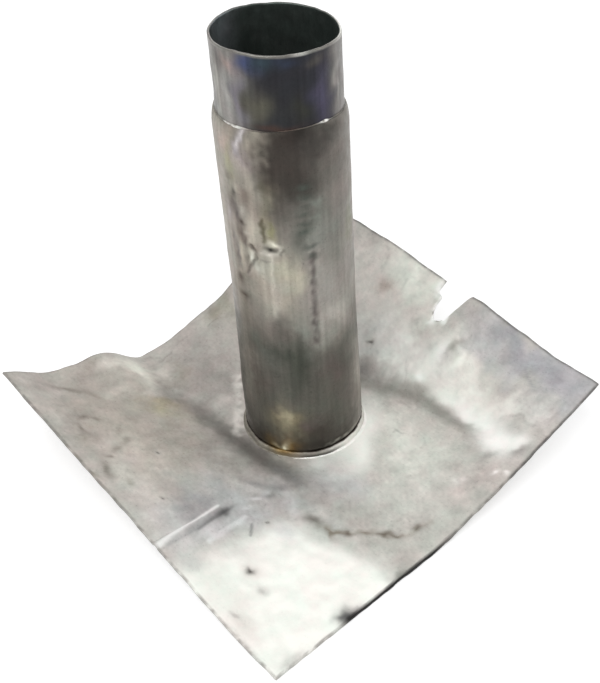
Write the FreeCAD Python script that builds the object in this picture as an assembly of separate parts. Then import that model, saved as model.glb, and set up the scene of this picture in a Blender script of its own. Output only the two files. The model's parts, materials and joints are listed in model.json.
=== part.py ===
import FreeCAD, Part
import math
import os

# Lead roof outlet: a square of lead sheet dressed into a shallow trough, a rolled lead pipe let through it
# and burned on, and a thinner lead spigot slipped into the pipe's end and burned there.
# Millimetres. The origin is on the pipe's axis, level with the sheet's underside. +Z runs up the pipe,
# X and Y run along the sheet's edges.

# Pipe
pipe_diameter = 110.0       # outside
pipe_wall = 2.65
pipe_height = 347.0         # sheet's underside to the lip
shoulder_height = 12.0      # stretch below the lip that is dressed inwards
shoulder_draw = 1.7         # how far the lip's outer edge is drawn in
lip_bevel = 1.0             # height of the worn edge on top of the lip
seam_angle = -22.0          # degrees round the axis from +X to the burned long seam
seam_width = 5.0
seam_height = 0.5
seam_end_gap = 1.0          # bare wall between the seam and the weld or shoulder at its ends
dent_angle = -59.0          # degrees round the axis to the knock in the pipe's wall
dent_level = 247.0          # height of the knock's middle
dent_width = 15.0
dent_depth = 1.1

# Spigot
spigot_step = 0.85          # the spigot is this much smaller than the pipe's bore, on the radius
spigot_wall = 2.24
spigot_reach = 64.5         # length that stands out of the lip, on the rim's high side
rim_slant = 8.0             # the rim is cut out of square and falls this much to its low side
rim_low_angle = 72.0        # degrees round the axis to the rim's low side
spigot_tail = 60.0          # length inside the pipe, flared to fill the pipe's tapered end
tail_clearance = 0.1        # tail to the pipe's tapered end
neck_gap = 0.2              # the flare runs on past the lip's weld by this much
rim_round = 0.6

# Burned joints
base_weld_leg = 5.5
spigot_weld_leg = 1.3
weld_bulge = 0.35           # swell of a weld's face, as a share of its leg
hole_clearance = 0.15       # pipe's outside to the hole in the sheet

# Sheet
sheet_length = 400.0        # along X
sheet_width = 400.0         # along Y
sheet_thickness = 2.65
sheet_middle_x = 8.0        # the sheet's middle lies this far from the pipe's axis
sheet_middle_y = -14.0

# The flat floor of the trough
pan_margin = 0.5            # flat ring outside the base weld
strip_width = 21.0          # flat strip along the left bend, over the sheet's whole length

# The left wing, twisted: it lies flat at the front corner and lifts towards the left corner
left_corner_lift = 71.0
left_bend_half = 10.0       # half the width of the bend
left_flat_end = 40.0        # the wing starts to lift this far from the front edge
left_twist_ease = 30.0

# Waves of the left wing's back edge: height, distance out from the left bend, half width
edge_waves = ((14.0, 44.0, 44.0), (-5.0, 111.0, 32.0))
edge_wave_depth = 90.0      # how far the waves run in from the back edge

# The right wing, turned up along a skewed fold that curls round at the front
right_corner_lift = 57.0
back_corner_lift = 97.0
right_bend_half = 10.0
right_fold_gap = 11.0       # flat floor between the pan's ring and the fold
right_fold_skew = 0.2       # the fold leans outwards by this much for each millimetre of X
fold_curl_gap = 29.0        # from the pan's ring to where the fold starts to curl
fold_curl = 0.003           # curl, for each square millimetre

# The ends of the trough, dished up towards the right wing
front_dish_slope = 0.22
front_dish_gap = 40.0       # flat floor between the pan's ring and the dish at the front
back_dish_slope = 0.25
back_dish_gap = 32.0
dish_ease = 12.0

# A soft ridge beside the torn notch
ridge_height = 4.0
ridge_offset = 58.0         # from the sheet's middle, towards the front
ridge_half = 45.0
ridge_run = 95.0

# A sharp crease across the left wing
crease_height = 2.2
crease_offset = 42.0        # from the sheet's middle, towards the front
crease_half = 5.0
crease_run = 80.0           # length in from the left edge

# The torn notch in the right edge: offset along the edge from its middle, depth in from the edge
notch_offset = 26.0         # the notch's middle, from the sheet's middle
notch_outline = ((-17.0, 0.0), (-17.5, 9.0), (-11.0, 13.0), (-11.5, 21.0), (-6.0, 32.0),
                 (7.0, 26.0), (10.0, 18.0), (18.0, 0.0))

# Spacing of the lines that carry the sheet's curved surfaces
coarse_line = 15.0
bend_line = 5.0
crease_lines = (-1.6, -1.0, -0.5, 0.0, 0.5, 1.0, 1.6)
slope_step = 1e-6           # distance over which the lift is compared to find the sheet's slope

# Worked out from the sizes above
pipe_radius = pipe_diameter / 2
bore_radius = pipe_radius - pipe_wall
spigot_radius = bore_radius - spigot_step
spigot_bore = spigot_radius - spigot_wall
tail_radius = bore_radius - tail_clearance
tail_bottom = pipe_height - spigot_tail
rim_level = pipe_height + spigot_reach
neck_level = pipe_height + spigot_weld_leg + neck_gap
shoulder_level = pipe_height - shoulder_height
pan_radius = pipe_radius + base_weld_leg + pan_margin
left_edge = sheet_middle_y - sheet_width / 2
right_edge = sheet_middle_y + sheet_width / 2
back_edge = sheet_middle_x - sheet_length / 2
front_edge = sheet_middle_x + sheet_length / 2
strip_left = -pan_radius
strip_right = strip_width - pan_radius
left_bend = strip_left - left_bend_half
left_flat = front_edge - left_flat_end
right_fold = pan_radius + right_fold_gap + right_bend_half
fold_curl_start = pan_radius + fold_curl_gap
dish_start = strip_right + dish_ease
front_dish = pan_radius + front_dish_gap
back_dish = -pan_radius - back_dish_gap
ridge_line = sheet_middle_x + ridge_offset
crease_line = sheet_middle_x + crease_offset
notch_line = sheet_middle_x + notch_offset

up = FreeCAD.Vector(0, 0, 1)
origin = FreeCAD.Vector(0, 0, 0)


def point(x, y, z):
    """A point of the part's frame."""
    return FreeCAD.Vector(x, y, z)


def ramp(distance, half):
    """Distance past a bend line: nothing before the bend, a parabola across it, then straight."""
    if distance <= -half:
        return 0.0
    if distance >= half:
        return distance
    return (distance + half) ** 2 / (4 * half)


def bell(share):
    """A smooth hump, one at its middle and nothing past a share of one on either side."""
    if abs(share) >= 1:
        return 0.0
    return math.cos(math.pi * share / 2) ** 2


def ease(share):
    """A smooth step from nothing at zero to one at one."""
    share = min(max(share, 0.0), 1.0)
    return share * share * (3 - 2 * share)


def left_wing(x, y):
    """Lift of the twisted left wing, its edge waves and its crease."""
    twist = left_corner_lift / ((left_flat - back_edge) * (left_bend - left_edge))
    wing = twist * ramp(left_flat - x, left_twist_ease) * ramp(left_bend - y, left_bend_half)
    waves = sum(tall * bell((strip_left - y - out) / half) for tall, out, half in edge_waves)
    waves *= bell((x - back_edge) / edge_wave_depth)
    crease = crease_height * bell((x - crease_line) / crease_half)
    crease *= ease((left_edge + crease_run - y) / crease_run)
    return wing + waves + crease


def trough_ends(x, y):
    """Lift of the trough's two ends towards the right wing."""
    front = front_dish_slope * ease((x - front_dish) / (front_edge - front_dish))
    back = back_dish_slope * ease((back_dish - x) / (back_dish - back_edge))
    return (front + back) * ramp(y - dish_start, dish_ease)


def right_wing(x, y):
    """Lift of the right wing: it reaches a straight slanting edge from its skewed, curled fold."""
    fold = right_fold + right_fold_skew * x - fold_curl * max(0.0, x - fold_curl_start) ** 2
    along = (front_edge - x) / sheet_length
    edge_lift = right_corner_lift + (back_corner_lift - right_corner_lift) * along
    slope = (edge_lift - trough_ends(x, right_edge)) / (right_edge - fold)
    ridge = ridge_height * bell((x - ridge_line) / ridge_half) * bell((right_edge - y) / ridge_run)
    return trough_ends(x, y) + slope * ramp(y - fold, right_bend_half) + ridge


def net_point(lift, x, y, thickness):
    """A point of the sheet's underside, or of its upper face when it is raised square to the sheet."""
    step = slope_step
    slope_x = (lift(x + step, y) - lift(x - step, y)) / (2 * step)
    slope_y = (lift(x, y + step) - lift(x, y - step)) / (2 * step)
    square = point(-slope_x, -slope_y, 1).normalize()
    return point(x, y, lift(x, y)) + square * thickness


def spread(low, high, spacing):
    """Evenly spread lines from low to high, about spacing apart, without the last one."""
    count = max(1, round((high - low) / spacing))
    return [low + (high - low) * i / count for i in range(count)]


def control_places(lines):
    """Places of a cubic spline's control points that make it run evenly along its own axis."""
    knots = [lines[0]] * 3 + lines + [lines[-1]] * 3
    return [sum(knots[i + 1:i + 4]) / 3 for i in range(len(lines) + 2)]


def curved_face(lift, lines_x, lines_y, thickness):
    """A smooth face over a grid of lines, shaped by the lift at its control points."""
    places_y = control_places(lines_y)
    net = [[net_point(lift, x, y, thickness) for y in places_y] for x in control_places(lines_x)]
    repeats_x = [4] + [1] * (len(lines_x) - 2) + [4]
    repeats_y = [4] + [1] * (len(lines_y) - 2) + [4]
    surface = Part.BSplineSurface()
    surface.buildFromPolesMultsKnots(net, repeats_x, repeats_y, lines_x, lines_y, False, False, 3, 3)
    return surface


def wing_faces(lift, lines_x, lines_y, free_end):
    """Both faces of a wing and the cut edges round its three free sides."""
    below = curved_face(lift, lines_x, lines_y, 0.0)
    above = curved_face(lift, lines_x, lines_y, sheet_thickness)
    borders = [(surface.uIso(lines_x[0]), surface.uIso(lines_x[-1]), surface.vIso(free_end))
               for surface in (below, above)]
    sides = [Part.makeRuledSurface(low.toShape(), high.toShape()) for low, high in zip(*borders)]
    return [below.toShape(), above.toShape()] + sides


def strip_faces():
    """Both faces and both cut ends of the flat strip between the wings."""
    corners = [(back_edge, strip_left), (front_edge, strip_left),
               (front_edge, strip_right), (back_edge, strip_right)]
    faces = []
    for level in (0.0, sheet_thickness):
        ring = [point(x, y, level) for x, y in corners]
        faces.append(Part.Face(Part.makePolygon(ring + ring[:1])))
    for x in (back_edge, front_edge):
        ring = [point(x, strip_left, 0), point(x, strip_right, 0),
                point(x, strip_right, sheet_thickness), point(x, strip_left, sheet_thickness)]
        faces.append(Part.Face(Part.makePolygon(ring + ring[:1])))
    return faces


def notch_cutter():
    """An upright block with the torn notch's outline, open past the sheet's edge."""
    beyond = ridge_run
    ring = [point(notch_line + along, right_edge - depth, 0) for along, depth in notch_outline]
    ring.append(point(notch_line + notch_outline[-1][0], right_edge + beyond, 0))
    ring.append(point(notch_line + notch_outline[0][0], right_edge + beyond, 0))
    tall = 2 * (back_corner_lift + sheet_thickness)
    return Part.Face(Part.makePolygon(ring + ring[:1])).extrude(up * tall)


def base_sheet():
    """The dressed sheet: two curved wings on a flat strip, with the pipe's hole and the torn notch."""
    plain = [x for x in spread(back_edge, front_edge, coarse_line)
             if x == back_edge or abs(x - crease_line) > 2 * crease_half]
    lines_x = sorted(plain + [crease_line + share * crease_half for share in crease_lines] + [front_edge])
    bend_end = strip_left - 2 * left_bend_half - bend_line
    left_lines = (spread(left_edge, bend_end, coarse_line) + spread(bend_end, strip_left, bend_line)
                  + [strip_left])
    fold_near = pan_radius - 2 * bend_line
    fold_far = right_fold + right_fold_skew * front_dish + 2 * right_bend_half
    right_lines = (spread(strip_right, fold_near, coarse_line) + spread(fold_near, fold_far, bend_line)
                   + spread(fold_far, right_edge, coarse_line) + [right_edge])
    faces = wing_faces(left_wing, lines_x, left_lines, left_edge)
    faces += wing_faces(right_wing, lines_x, right_lines, right_edge)
    faces += strip_faces()
    skin = Part.makeShell(faces)
    skin.sewShape()
    sheet = Part.makeSolid(skin)
    if sheet.Volume < 0:
        sheet.reverse()
    hole = Part.makeCylinder(pipe_radius + hole_clearance, 3 * sheet_thickness, point(0, 0, -sheet_thickness))
    return sheet.cut(hole).cut(notch_cutter())


def turned(outline):
    """A closed outline of (radius, level) points and arcs, turned about the pipe's axis."""
    edges = []
    for start, end in zip(outline, outline[1:] + outline[:1]):
        a = point(start[0], 0, start[1])
        b = point(end[0], 0, end[1])
        if len(end) == 4:
            edges.append(Part.Arc(a, point(end[2], 0, end[3]), b).toShape())
        else:
            edges.append(Part.makeLine(a, b))
    return Part.Face(Part.Wire(edges)).revolve(origin, up, 360)


def at_angle(angle, radius, level):
    """A point on the pipe at an angle round the axis."""
    turn = math.radians(angle)
    return point(radius * math.cos(turn), radius * math.sin(turn), level)


def long_seam():
    """The low burned bead along the pipe's long joint."""
    half = seam_width / 2
    rise = seam_height + pipe_radius - math.sqrt(pipe_radius ** 2 - half ** 2)
    bead_radius = (half ** 2 + rise ** 2) / (2 * rise)
    foot = sheet_thickness + base_weld_leg + seam_end_gap
    length = shoulder_level - seam_end_gap - foot
    axis = at_angle(seam_angle, pipe_radius + seam_height - bead_radius, foot)
    bead = Part.makeCylinder(bead_radius, length, axis)
    core = Part.makeCylinder(pipe_radius - pipe_wall / 2, length, point(0, 0, foot))
    return bead.cut(core)


def flare_radius(level):
    """Outside of the spigot's flared tail at a level between its end and its neck."""
    return tail_radius + (spigot_radius - tail_radius) * (level - tail_bottom) / (neck_level - tail_bottom)


def outlet_pipe():
    """The rolled pipe with its long seam, its tapered and drawn-in end and the knock in its wall."""
    lip_outside = pipe_radius - shoulder_draw
    bevel_level = pipe_height - lip_bevel
    shoulder_run = bevel_level - shoulder_level
    shoulder_radius = (shoulder_run ** 2 + shoulder_draw ** 2) / (2 * shoulder_draw)
    middle_level = shoulder_level + shoulder_run / 2
    middle_draw = shoulder_radius - math.sqrt(shoulder_radius ** 2 - (shoulder_run / 2) ** 2)
    outline = [
        (bore_radius, 0.0),
        (pipe_radius, 0.0),
        (pipe_radius, shoulder_level),
        (lip_outside, bevel_level, pipe_radius - middle_draw, middle_level),
        (lip_outside - lip_bevel / 2, pipe_height),
        (flare_radius(pipe_height) + tail_clearance, pipe_height),
        (bore_radius, tail_bottom),
    ]
    pipe = turned(outline).fuse(long_seam())
    knock_radius = (dent_width ** 2 / 4 + dent_depth ** 2) / (2 * dent_depth)
    middle = at_angle(dent_angle, pipe_radius + knock_radius - dent_depth, dent_level)
    return pipe.cut(Part.makeSphere(knock_radius, middle))


def rim_cutter():
    """A block whose slanting underside is the plane of the spigot's rim."""
    half = pipe_diameter
    block = Part.makeBox(2 * half, 2 * half, half, point(-half, -half, 0))
    slant = math.degrees(math.atan2(rim_slant, 2 * spigot_radius))
    block.rotate(origin, at_angle(rim_low_angle + 90, 1, 0), slant)
    block.translate(up * (rim_level - rim_slant / 2))
    return block


def spigot():
    """The thinner tube in the pipe's end, its tail flared to seat in the taper, its slanting rim rounded."""
    blank_top = rim_level + rim_slant
    tube = turned([
        (spigot_bore, tail_bottom),
        (tail_radius, tail_bottom),
        (spigot_radius, neck_level),
        (spigot_radius, blank_top),
        (spigot_bore, blank_top),
    ]).cut(rim_cutter())
    rim_edges = [edge for edge in tube.Edges if isinstance(edge.Curve, Part.Ellipse)]
    return tube.makeFillet(rim_round, rim_edges)


def weld_ring(foot, top, level, leg):
    """A burned fillet with a swollen face, on a flat face and a wall that goes from foot to top radius."""
    swell = leg * (0.5 + weld_bulge / 2)
    return turned([(foot, level), (foot + leg, level), (top, level + leg, foot + swell, level + swell)])


os.makedirs("parts", exist_ok=True)
pieces = {
    "base_sheet": base_sheet(),
    "outlet_pipe": outlet_pipe(),
    "spigot": spigot(),
    "base_weld": weld_ring(pipe_radius, pipe_radius, sheet_thickness, base_weld_leg),
    "spigot_weld": weld_ring(flare_radius(pipe_height), flare_radius(pipe_height + spigot_weld_leg),
                             pipe_height, spigot_weld_leg),
}
for name, piece in pieces.items():
    print(name, "valid", piece.isValid(), "solids", len(piece.Solids), "volume", round(piece.Volume, 1))
    piece.exportStep("parts/" + name + ".step")
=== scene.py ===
import json
import math

import bpy
import numpy as np
from bpy.props import FloatProperty, FloatVectorProperty, IntProperty, PointerProperty
from mathutils import Matrix, Vector

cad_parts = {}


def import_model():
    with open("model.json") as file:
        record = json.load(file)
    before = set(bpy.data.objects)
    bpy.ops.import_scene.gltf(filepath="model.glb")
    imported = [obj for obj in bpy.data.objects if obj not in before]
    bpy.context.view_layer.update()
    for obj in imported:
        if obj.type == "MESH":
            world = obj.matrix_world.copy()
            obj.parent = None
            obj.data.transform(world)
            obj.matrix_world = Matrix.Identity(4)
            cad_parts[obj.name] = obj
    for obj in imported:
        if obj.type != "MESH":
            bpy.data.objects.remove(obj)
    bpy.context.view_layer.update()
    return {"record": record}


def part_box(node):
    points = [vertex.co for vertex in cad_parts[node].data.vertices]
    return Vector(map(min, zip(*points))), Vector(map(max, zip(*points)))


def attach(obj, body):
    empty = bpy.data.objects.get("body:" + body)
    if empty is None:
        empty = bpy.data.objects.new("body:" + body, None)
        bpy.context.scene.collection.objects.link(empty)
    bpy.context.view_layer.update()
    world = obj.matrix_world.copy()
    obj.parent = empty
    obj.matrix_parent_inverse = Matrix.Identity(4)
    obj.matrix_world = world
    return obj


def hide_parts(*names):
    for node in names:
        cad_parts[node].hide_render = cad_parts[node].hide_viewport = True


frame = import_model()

bl_info = {
    "name": "Lead Roof Outlet",
    "version": (1, 0, 0),
    "blender": (4, 5, 0),
    "location": "3D View > Sidebar > Outlet",
    "description": "Dresses a lead roof outlet: a hand-worked sheet, a burned pipe and a tinted spigot",
    "category": "Add Mesh",
}

mm = 0.001

# Sizes read from the frame
mounts = {mount["name"]: mount["dims"] for mount in frame["record"]["mounts"]}
bore_radius = mounts["inlet_bore"]["r_mm"] * mm
spigot_radius = mounts["spigot"]["r_mm"] * mm
spigot_bore = mounts["outlet_bore"]["r_mm"] * mm
pipe_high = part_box("outlet_pipe")[1]
spigot_low, spigot_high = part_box("spigot")
weld_low, weld_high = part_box("base_weld")
lip_low, lip_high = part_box("spigot_weld")
sheet_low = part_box("base_sheet")[0]
pipe_radius = pipe_high.x
lip_level = pipe_high.z
tail_level = spigot_low.z
rim_level = spigot_high.z
sheet_thickness = weld_low.z
weld_leg = weld_high.z - weld_low.z
lip_weld_leg = lip_high.z - lip_low.z
spigot_middle = (spigot_radius + spigot_bore) / 2
spigot_clearance = 0.1 * mm

# The sheet's plan
sheet_side = 400 * mm
back_edge = sheet_low.x
front_edge = back_edge + sheet_side
left_edge = sheet_low.y
right_edge = left_edge + sheet_side
sheet_middle = (back_edge + front_edge) / 2
hole_clearance = 0.15 * mm
hole_radius = pipe_radius + hole_clearance
pan_margin = 6 * mm
pan_radius = pipe_radius + pan_margin
edge_round = 1.5 * mm
edge_nick = 0.25 * mm
torn_nick = 0.8 * mm

# The left wing, twisted, with its edge waves (height, distance out from the bend, half width)
strip_left = -pan_radius
left_corner_lift = 71 * mm
left_bend_half = 10 * mm
left_bend = strip_left - left_bend_half
left_flat = front_edge - 40 * mm
left_twist_ease = 30 * mm
edge_waves = ((14 * mm, 44 * mm, 44 * mm), (-5 * mm, 111 * mm, 32 * mm))
edge_wave_depth = 90 * mm

# The right wing, turned up along a skewed fold that curls round at the front
right_corner_lift = 57 * mm
back_corner_lift = 97 * mm
right_bend_half = 10 * mm
right_fold = pan_radius + 11 * mm + right_bend_half
right_fold_skew = 0.2
fold_curl_start = pan_radius + 29 * mm
fold_curl = 0.003 / mm

# The dished ends of the trough
dish_ease = 12 * mm
dish_start = strip_left + 21 * mm + dish_ease
front_dish = pan_radius + 40 * mm
front_dish_slope = 0.22
back_dish = -pan_radius - 32 * mm
back_dish_slope = 0.25

# The soft ridge beside the notch and the crease across the left wing
ridge_height = 4 * mm
ridge_line = sheet_middle + 58 * mm
ridge_half = 45 * mm
ridge_run = 95 * mm
crease_height = 2.2 * mm
crease_line = sheet_middle + 42 * mm
crease_half = 5 * mm
crease_run = 80 * mm

# The torn notch, in millimetres: offset along the right edge from its middle, depth in from the edge
notch_line = sheet_middle + 26 * mm
notch_outline = ((-17, 0), (-17.5, 9), (-11, 13), (-11.5, 21), (-6, 32), (7, 26), (10, 18), (18, 0))

# The sheet's section: shares of its thickness round the edge, its least height, and the step for its slope
edge_heights = (0.12, 0.88, 1)
least_height = 0.4
slope_step = 0.2 * mm

# Runs of the edge with closer points, for the fine marks beside them
fine_front_start = 50 * mm
fine_notch_run = 60 * mm
fine_crease_back = 20 * mm
fine_crease_front = 40 * mm

# Marks on the sheet, in millimetres in plan: routes of lines, pits with their sizes, a dent and a hollow
# Painted shade lies along the left bend's route and along the right fold's route
left_bend_shade = ((-144, -84), (-116, -80), (-93, -73), (-60, -72), (-29, -72), (0, -70), (26, -67),
                  (60, -58))
left_mottles = ((-92, -10), (-84, -15), (-64, -28), (-52, -40), (-40, -52), (-28, -60))
right_fold_shade = ((-4, 74), (24, 81), (44, 90), (66, 98), (92, 98), (118, 97), (135, 94), (152, 86),
                   (160, 72))
front_scratch = ((107, -85), (118, -85), (132, -81), (141, -73), (149, -61), (163, -50), (173, -45),
                 (180, -33), (179, -23), (184, -14))
second_crease = ((71, -172), (68, -130))
sheet_pits = (((-41, -146), 2.2), ((10, -178), 1.8), ((116, -164), 3.9), ((86, -120), 1.8), ((-16, 109), 2.4))
notch_ridge = ((57, 150), (53, 138), (53, 124), (51, 109))
ring_dent = (71, 141)
dent_hollow = (11, 6)
dent_hollow_side = (4, 14)
dent_shine = (9, 5.5)
crease_hollow = ((52, -141), 9, 4, 92)

# Ridges and grooves worked by hand, in millimetres: height, route, half width
sheet_ridges = ((0.5, notch_ridge, 11), (0.8, second_crease, 4), (-0.45, front_scratch, 2.5))

# Swells and hollows: height, middle, half length, half width, turn in degrees
sheet_swells = ((0.7, (74, 140), 8, 6, 30), (-0.9, *crease_hollow))

# Rises of the right edge: height, middle along the edge, half length, reach in from the edge
edge_rises = ((3, -55, 75, 70), (-3, 165, 62, 40))
dressing_ease = 25 * mm

# Painted highlight: the white front corner
# The white front corner: its inner line, the start and run of its fades, and the slant of its back
white_corner = ((85, -100), (152, -74), (205, -66))
white_corner_back = (60, 36)
white_corner_slant = 0.1
white_corner_fade = (-10, 34)

# Painted sheen: the bright sheet round the pipe's foot
# The bright sheet round the foot: reach in millimetres, and headings as middle and half in radians
foot_glow_reach = 86
foot_glow_bulge = 26
foot_glow_fade = 24
foot_glow_heading = (0.35, 1.45)
foot_bulge_heading = (-0.2, 0.6)

# Stretches along the bends and edges, in millimetres: middle and half length, or start and run
# Stretches of the painted shade along the left bend and the right fold
bend_shade_back = (-160, 80)
bend_shade_middle = (-15, 95)
fold_shade_fade = (70, 60)
soiled_left = (-65, 85)
dusty_left = (164, 40)
# Stretches of painted shade along the front edge and of the painted black shadow under it
shaded_front = (50, 20)
front_edge_shadow = (-142, 8)
front_shadow_fade = (-35, 40)

# Soft marks: middle, half length, half width, turn in degrees, shade as the eye reads it, strength
sheet_clouds = (
    ((-80, -155), 125, 50, 0, (163, 155, 147), 0.95),
    ((-60, -109), 70, 18, 0, (163, 157, 148), 0.7),
    ((-10, -108), 24, 13, 0, (152, 147, 142), 0.6),
    ((-62, -158), 50, 18, 0, (194, 187, 179), 0.8),
    ((-84, -198), 14, 8, 0, (142, 136, 127), 0.75),
    ((-156, -89), 30, 16, 10, (234, 233, 223), 0.95),
    ((-165, 38), 30, 24, 0, (158, 155, 146), 0.7),
    ((-182, 34), 12, 12, 0, (144, 141, 126), 0.7),
    ((-101, -100), 26, 12, 25, (166, 158, 136), 0.85),
    ((-115, -25), 66, 40, 0, (151, 145, 141), 0.95),
    ((-139, -58), 27, 13, 0, (146, 140, 132), 0.85),
    ((3, -146), 26, 10, 0, (172, 175, 168), 0.6),
    ((22, -126), 27, 10, 0, (164, 165, 165), 0.65),
    ((50, -150), 36, 60, 0, (186, 186, 188), 0.75),
    ((36, -190), 26, 18, 0, (206, 206, 207), 0.75),
    ((0, -196), 42, 15, 0, (194, 192, 187), 0.8),
    ((78, -88), 32, 18, 0, (212, 212, 214), 0.85),
    ((150, 0), 60, 60, 0, (203, 204, 198), 0.88),
    ((98, 42), 50, 34, 0, (211, 213, 206), 0.88),
    ((185, 48), 20, 28, 0, (206, 196, 192), 0.8),
    # The right wing: its light clouds are partly pale lead and partly painted light
    ((-30, 150), 95, 38, 0, (215, 210, 205), 0.9),
    ((10, 168), 36, 18, 0, (232, 235, 226), 0.8),
    ((15, 118), 45, 22, 0, (246, 247, 242), 0.9),
    ((-20, 112), 34, 14, 0, (218, 218, 216), 0.75),
    ((-22, 175), 34, 14, 0, (242, 244, 236), 0.8),
    ((82, 150), 26, 20, 0, (236, 236, 230), 0.85),
    ((120, 174), 60, 16, 0, (158, 158, 164), 0.85),
    ((126, 158), 12, 10, 0, (206, 206, 206), 0.6),
    ((185, 170), 35, 25, 0, (172, 171, 177), 0.85),
    ((172, 130), 30, 14, 0, (206, 204, 202), 0.8),
    ((122, 120), 46, 13, 0, (246, 247, 241), 0.88),
    ((58, 125), 18, 12, 0, (230, 230, 226), 0.7),
    ((48, 110), 24, 9, 0, (240, 241, 236), 0.65),
    ((150, 172), 28, 14, 0, (158, 158, 163), 0.75),
    ((138, 134), 20, 13, 0, (230, 230, 224), 0.8),
    ((92, 157), 18, 9, 0, (178, 178, 180), 0.7),
    ((24, -157), 20, 14, 0, (150, 150, 153), 0.75),
    ((65, -160), 11, 24, 0, (212, 212, 214), 0.75),
    ((-175, -190), 16, 12, 0, (192, 185, 181), 0.7),
    # Painted shade where the right fold starts beside the pipe
    ((-6, 76), 12, 8, 0, (96, 92, 87), 0.5),
    ((-146, -112), 16, 12, 0, (200, 194, 186), 0.8),
    ((-174, -126), 15, 12, 0, (166, 159, 151), 0.6),
    ((-130, -200), 15, 8, 0, (206, 200, 194), 0.5),
    ((-36, -182), 46, 15, 0, (200, 194, 188), 0.7),
    ((66, -126), 18, 12, 0, (204, 204, 206), 0.7),
    ((110, -82), 24, 14, 0, (206, 207, 201), 0.75),
)
bright_dabs = (
    ((92, 110), 20, 6, 0, (238, 239, 234), 0.85),
    ((120, 109), 20, 8, 0, (246, 246, 243), 0.9),
    ((146, 104), 18, 11, -15, (250, 250, 247), 0.9),
    ((170, 92), 22, 15, -12, (252, 252, 250), 0.95),
    ((190, 98), 12, 9, 0, (246, 246, 243), 0.8),
    # Painted highlight along the ridge that runs in from the notch
    ((58, 148), 6, 5, 0, (230, 230, 224), 0.8),
    ((54, 137), 5, 8, 10, (244, 244, 238), 0.9),
    ((53, 124), 4, 8, 0, (240, 240, 234), 0.85),
    ((52, 113), 5.5, 5, 30, (248, 248, 243), 0.9),
    ((54, 110), 3.6, 3, 0, (254, 254, 252), 1),
    ((78, 137), 7, 5, 20, (232, 232, 224), 0.8),
    ((192, 61), 4, 2.4, 60, (248, 246, 244), 0.8),
    ((201, 66), 3, 2.4, 0, (248, 244, 242), 0.8),
    ((174, 40), 5, 3.4, 30, (238, 230, 228), 0.7),
    ((170, 33), 5, 3, 0, (230, 230, 226), 0.6),
    ((-73, -42), 8, 5, 20, (204, 201, 196), 0.45),
    ((-72, -54), 7, 4, 0, (204, 201, 196), 0.45),
    ((55, -108), 7, 2.2, 70, (228, 228, 230), 0.7),
    ((54, -96), 5, 2.2, 110, (224, 224, 226), 0.7),
    ((60, -121), 8, 2, 80, (222, 222, 224), 0.6),
    ((130, 62), 5, 14, 0, (222, 222, 216), 0.5),
    ((152, -203), 20, 10, 0, (220, 212, 208), 0.7),
    ((108, -196), 40, 18, 0, (226, 227, 221), 0.7),
    ((125, -78), 15, 9, 0, (208, 208, 206), 0.5),
)
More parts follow.
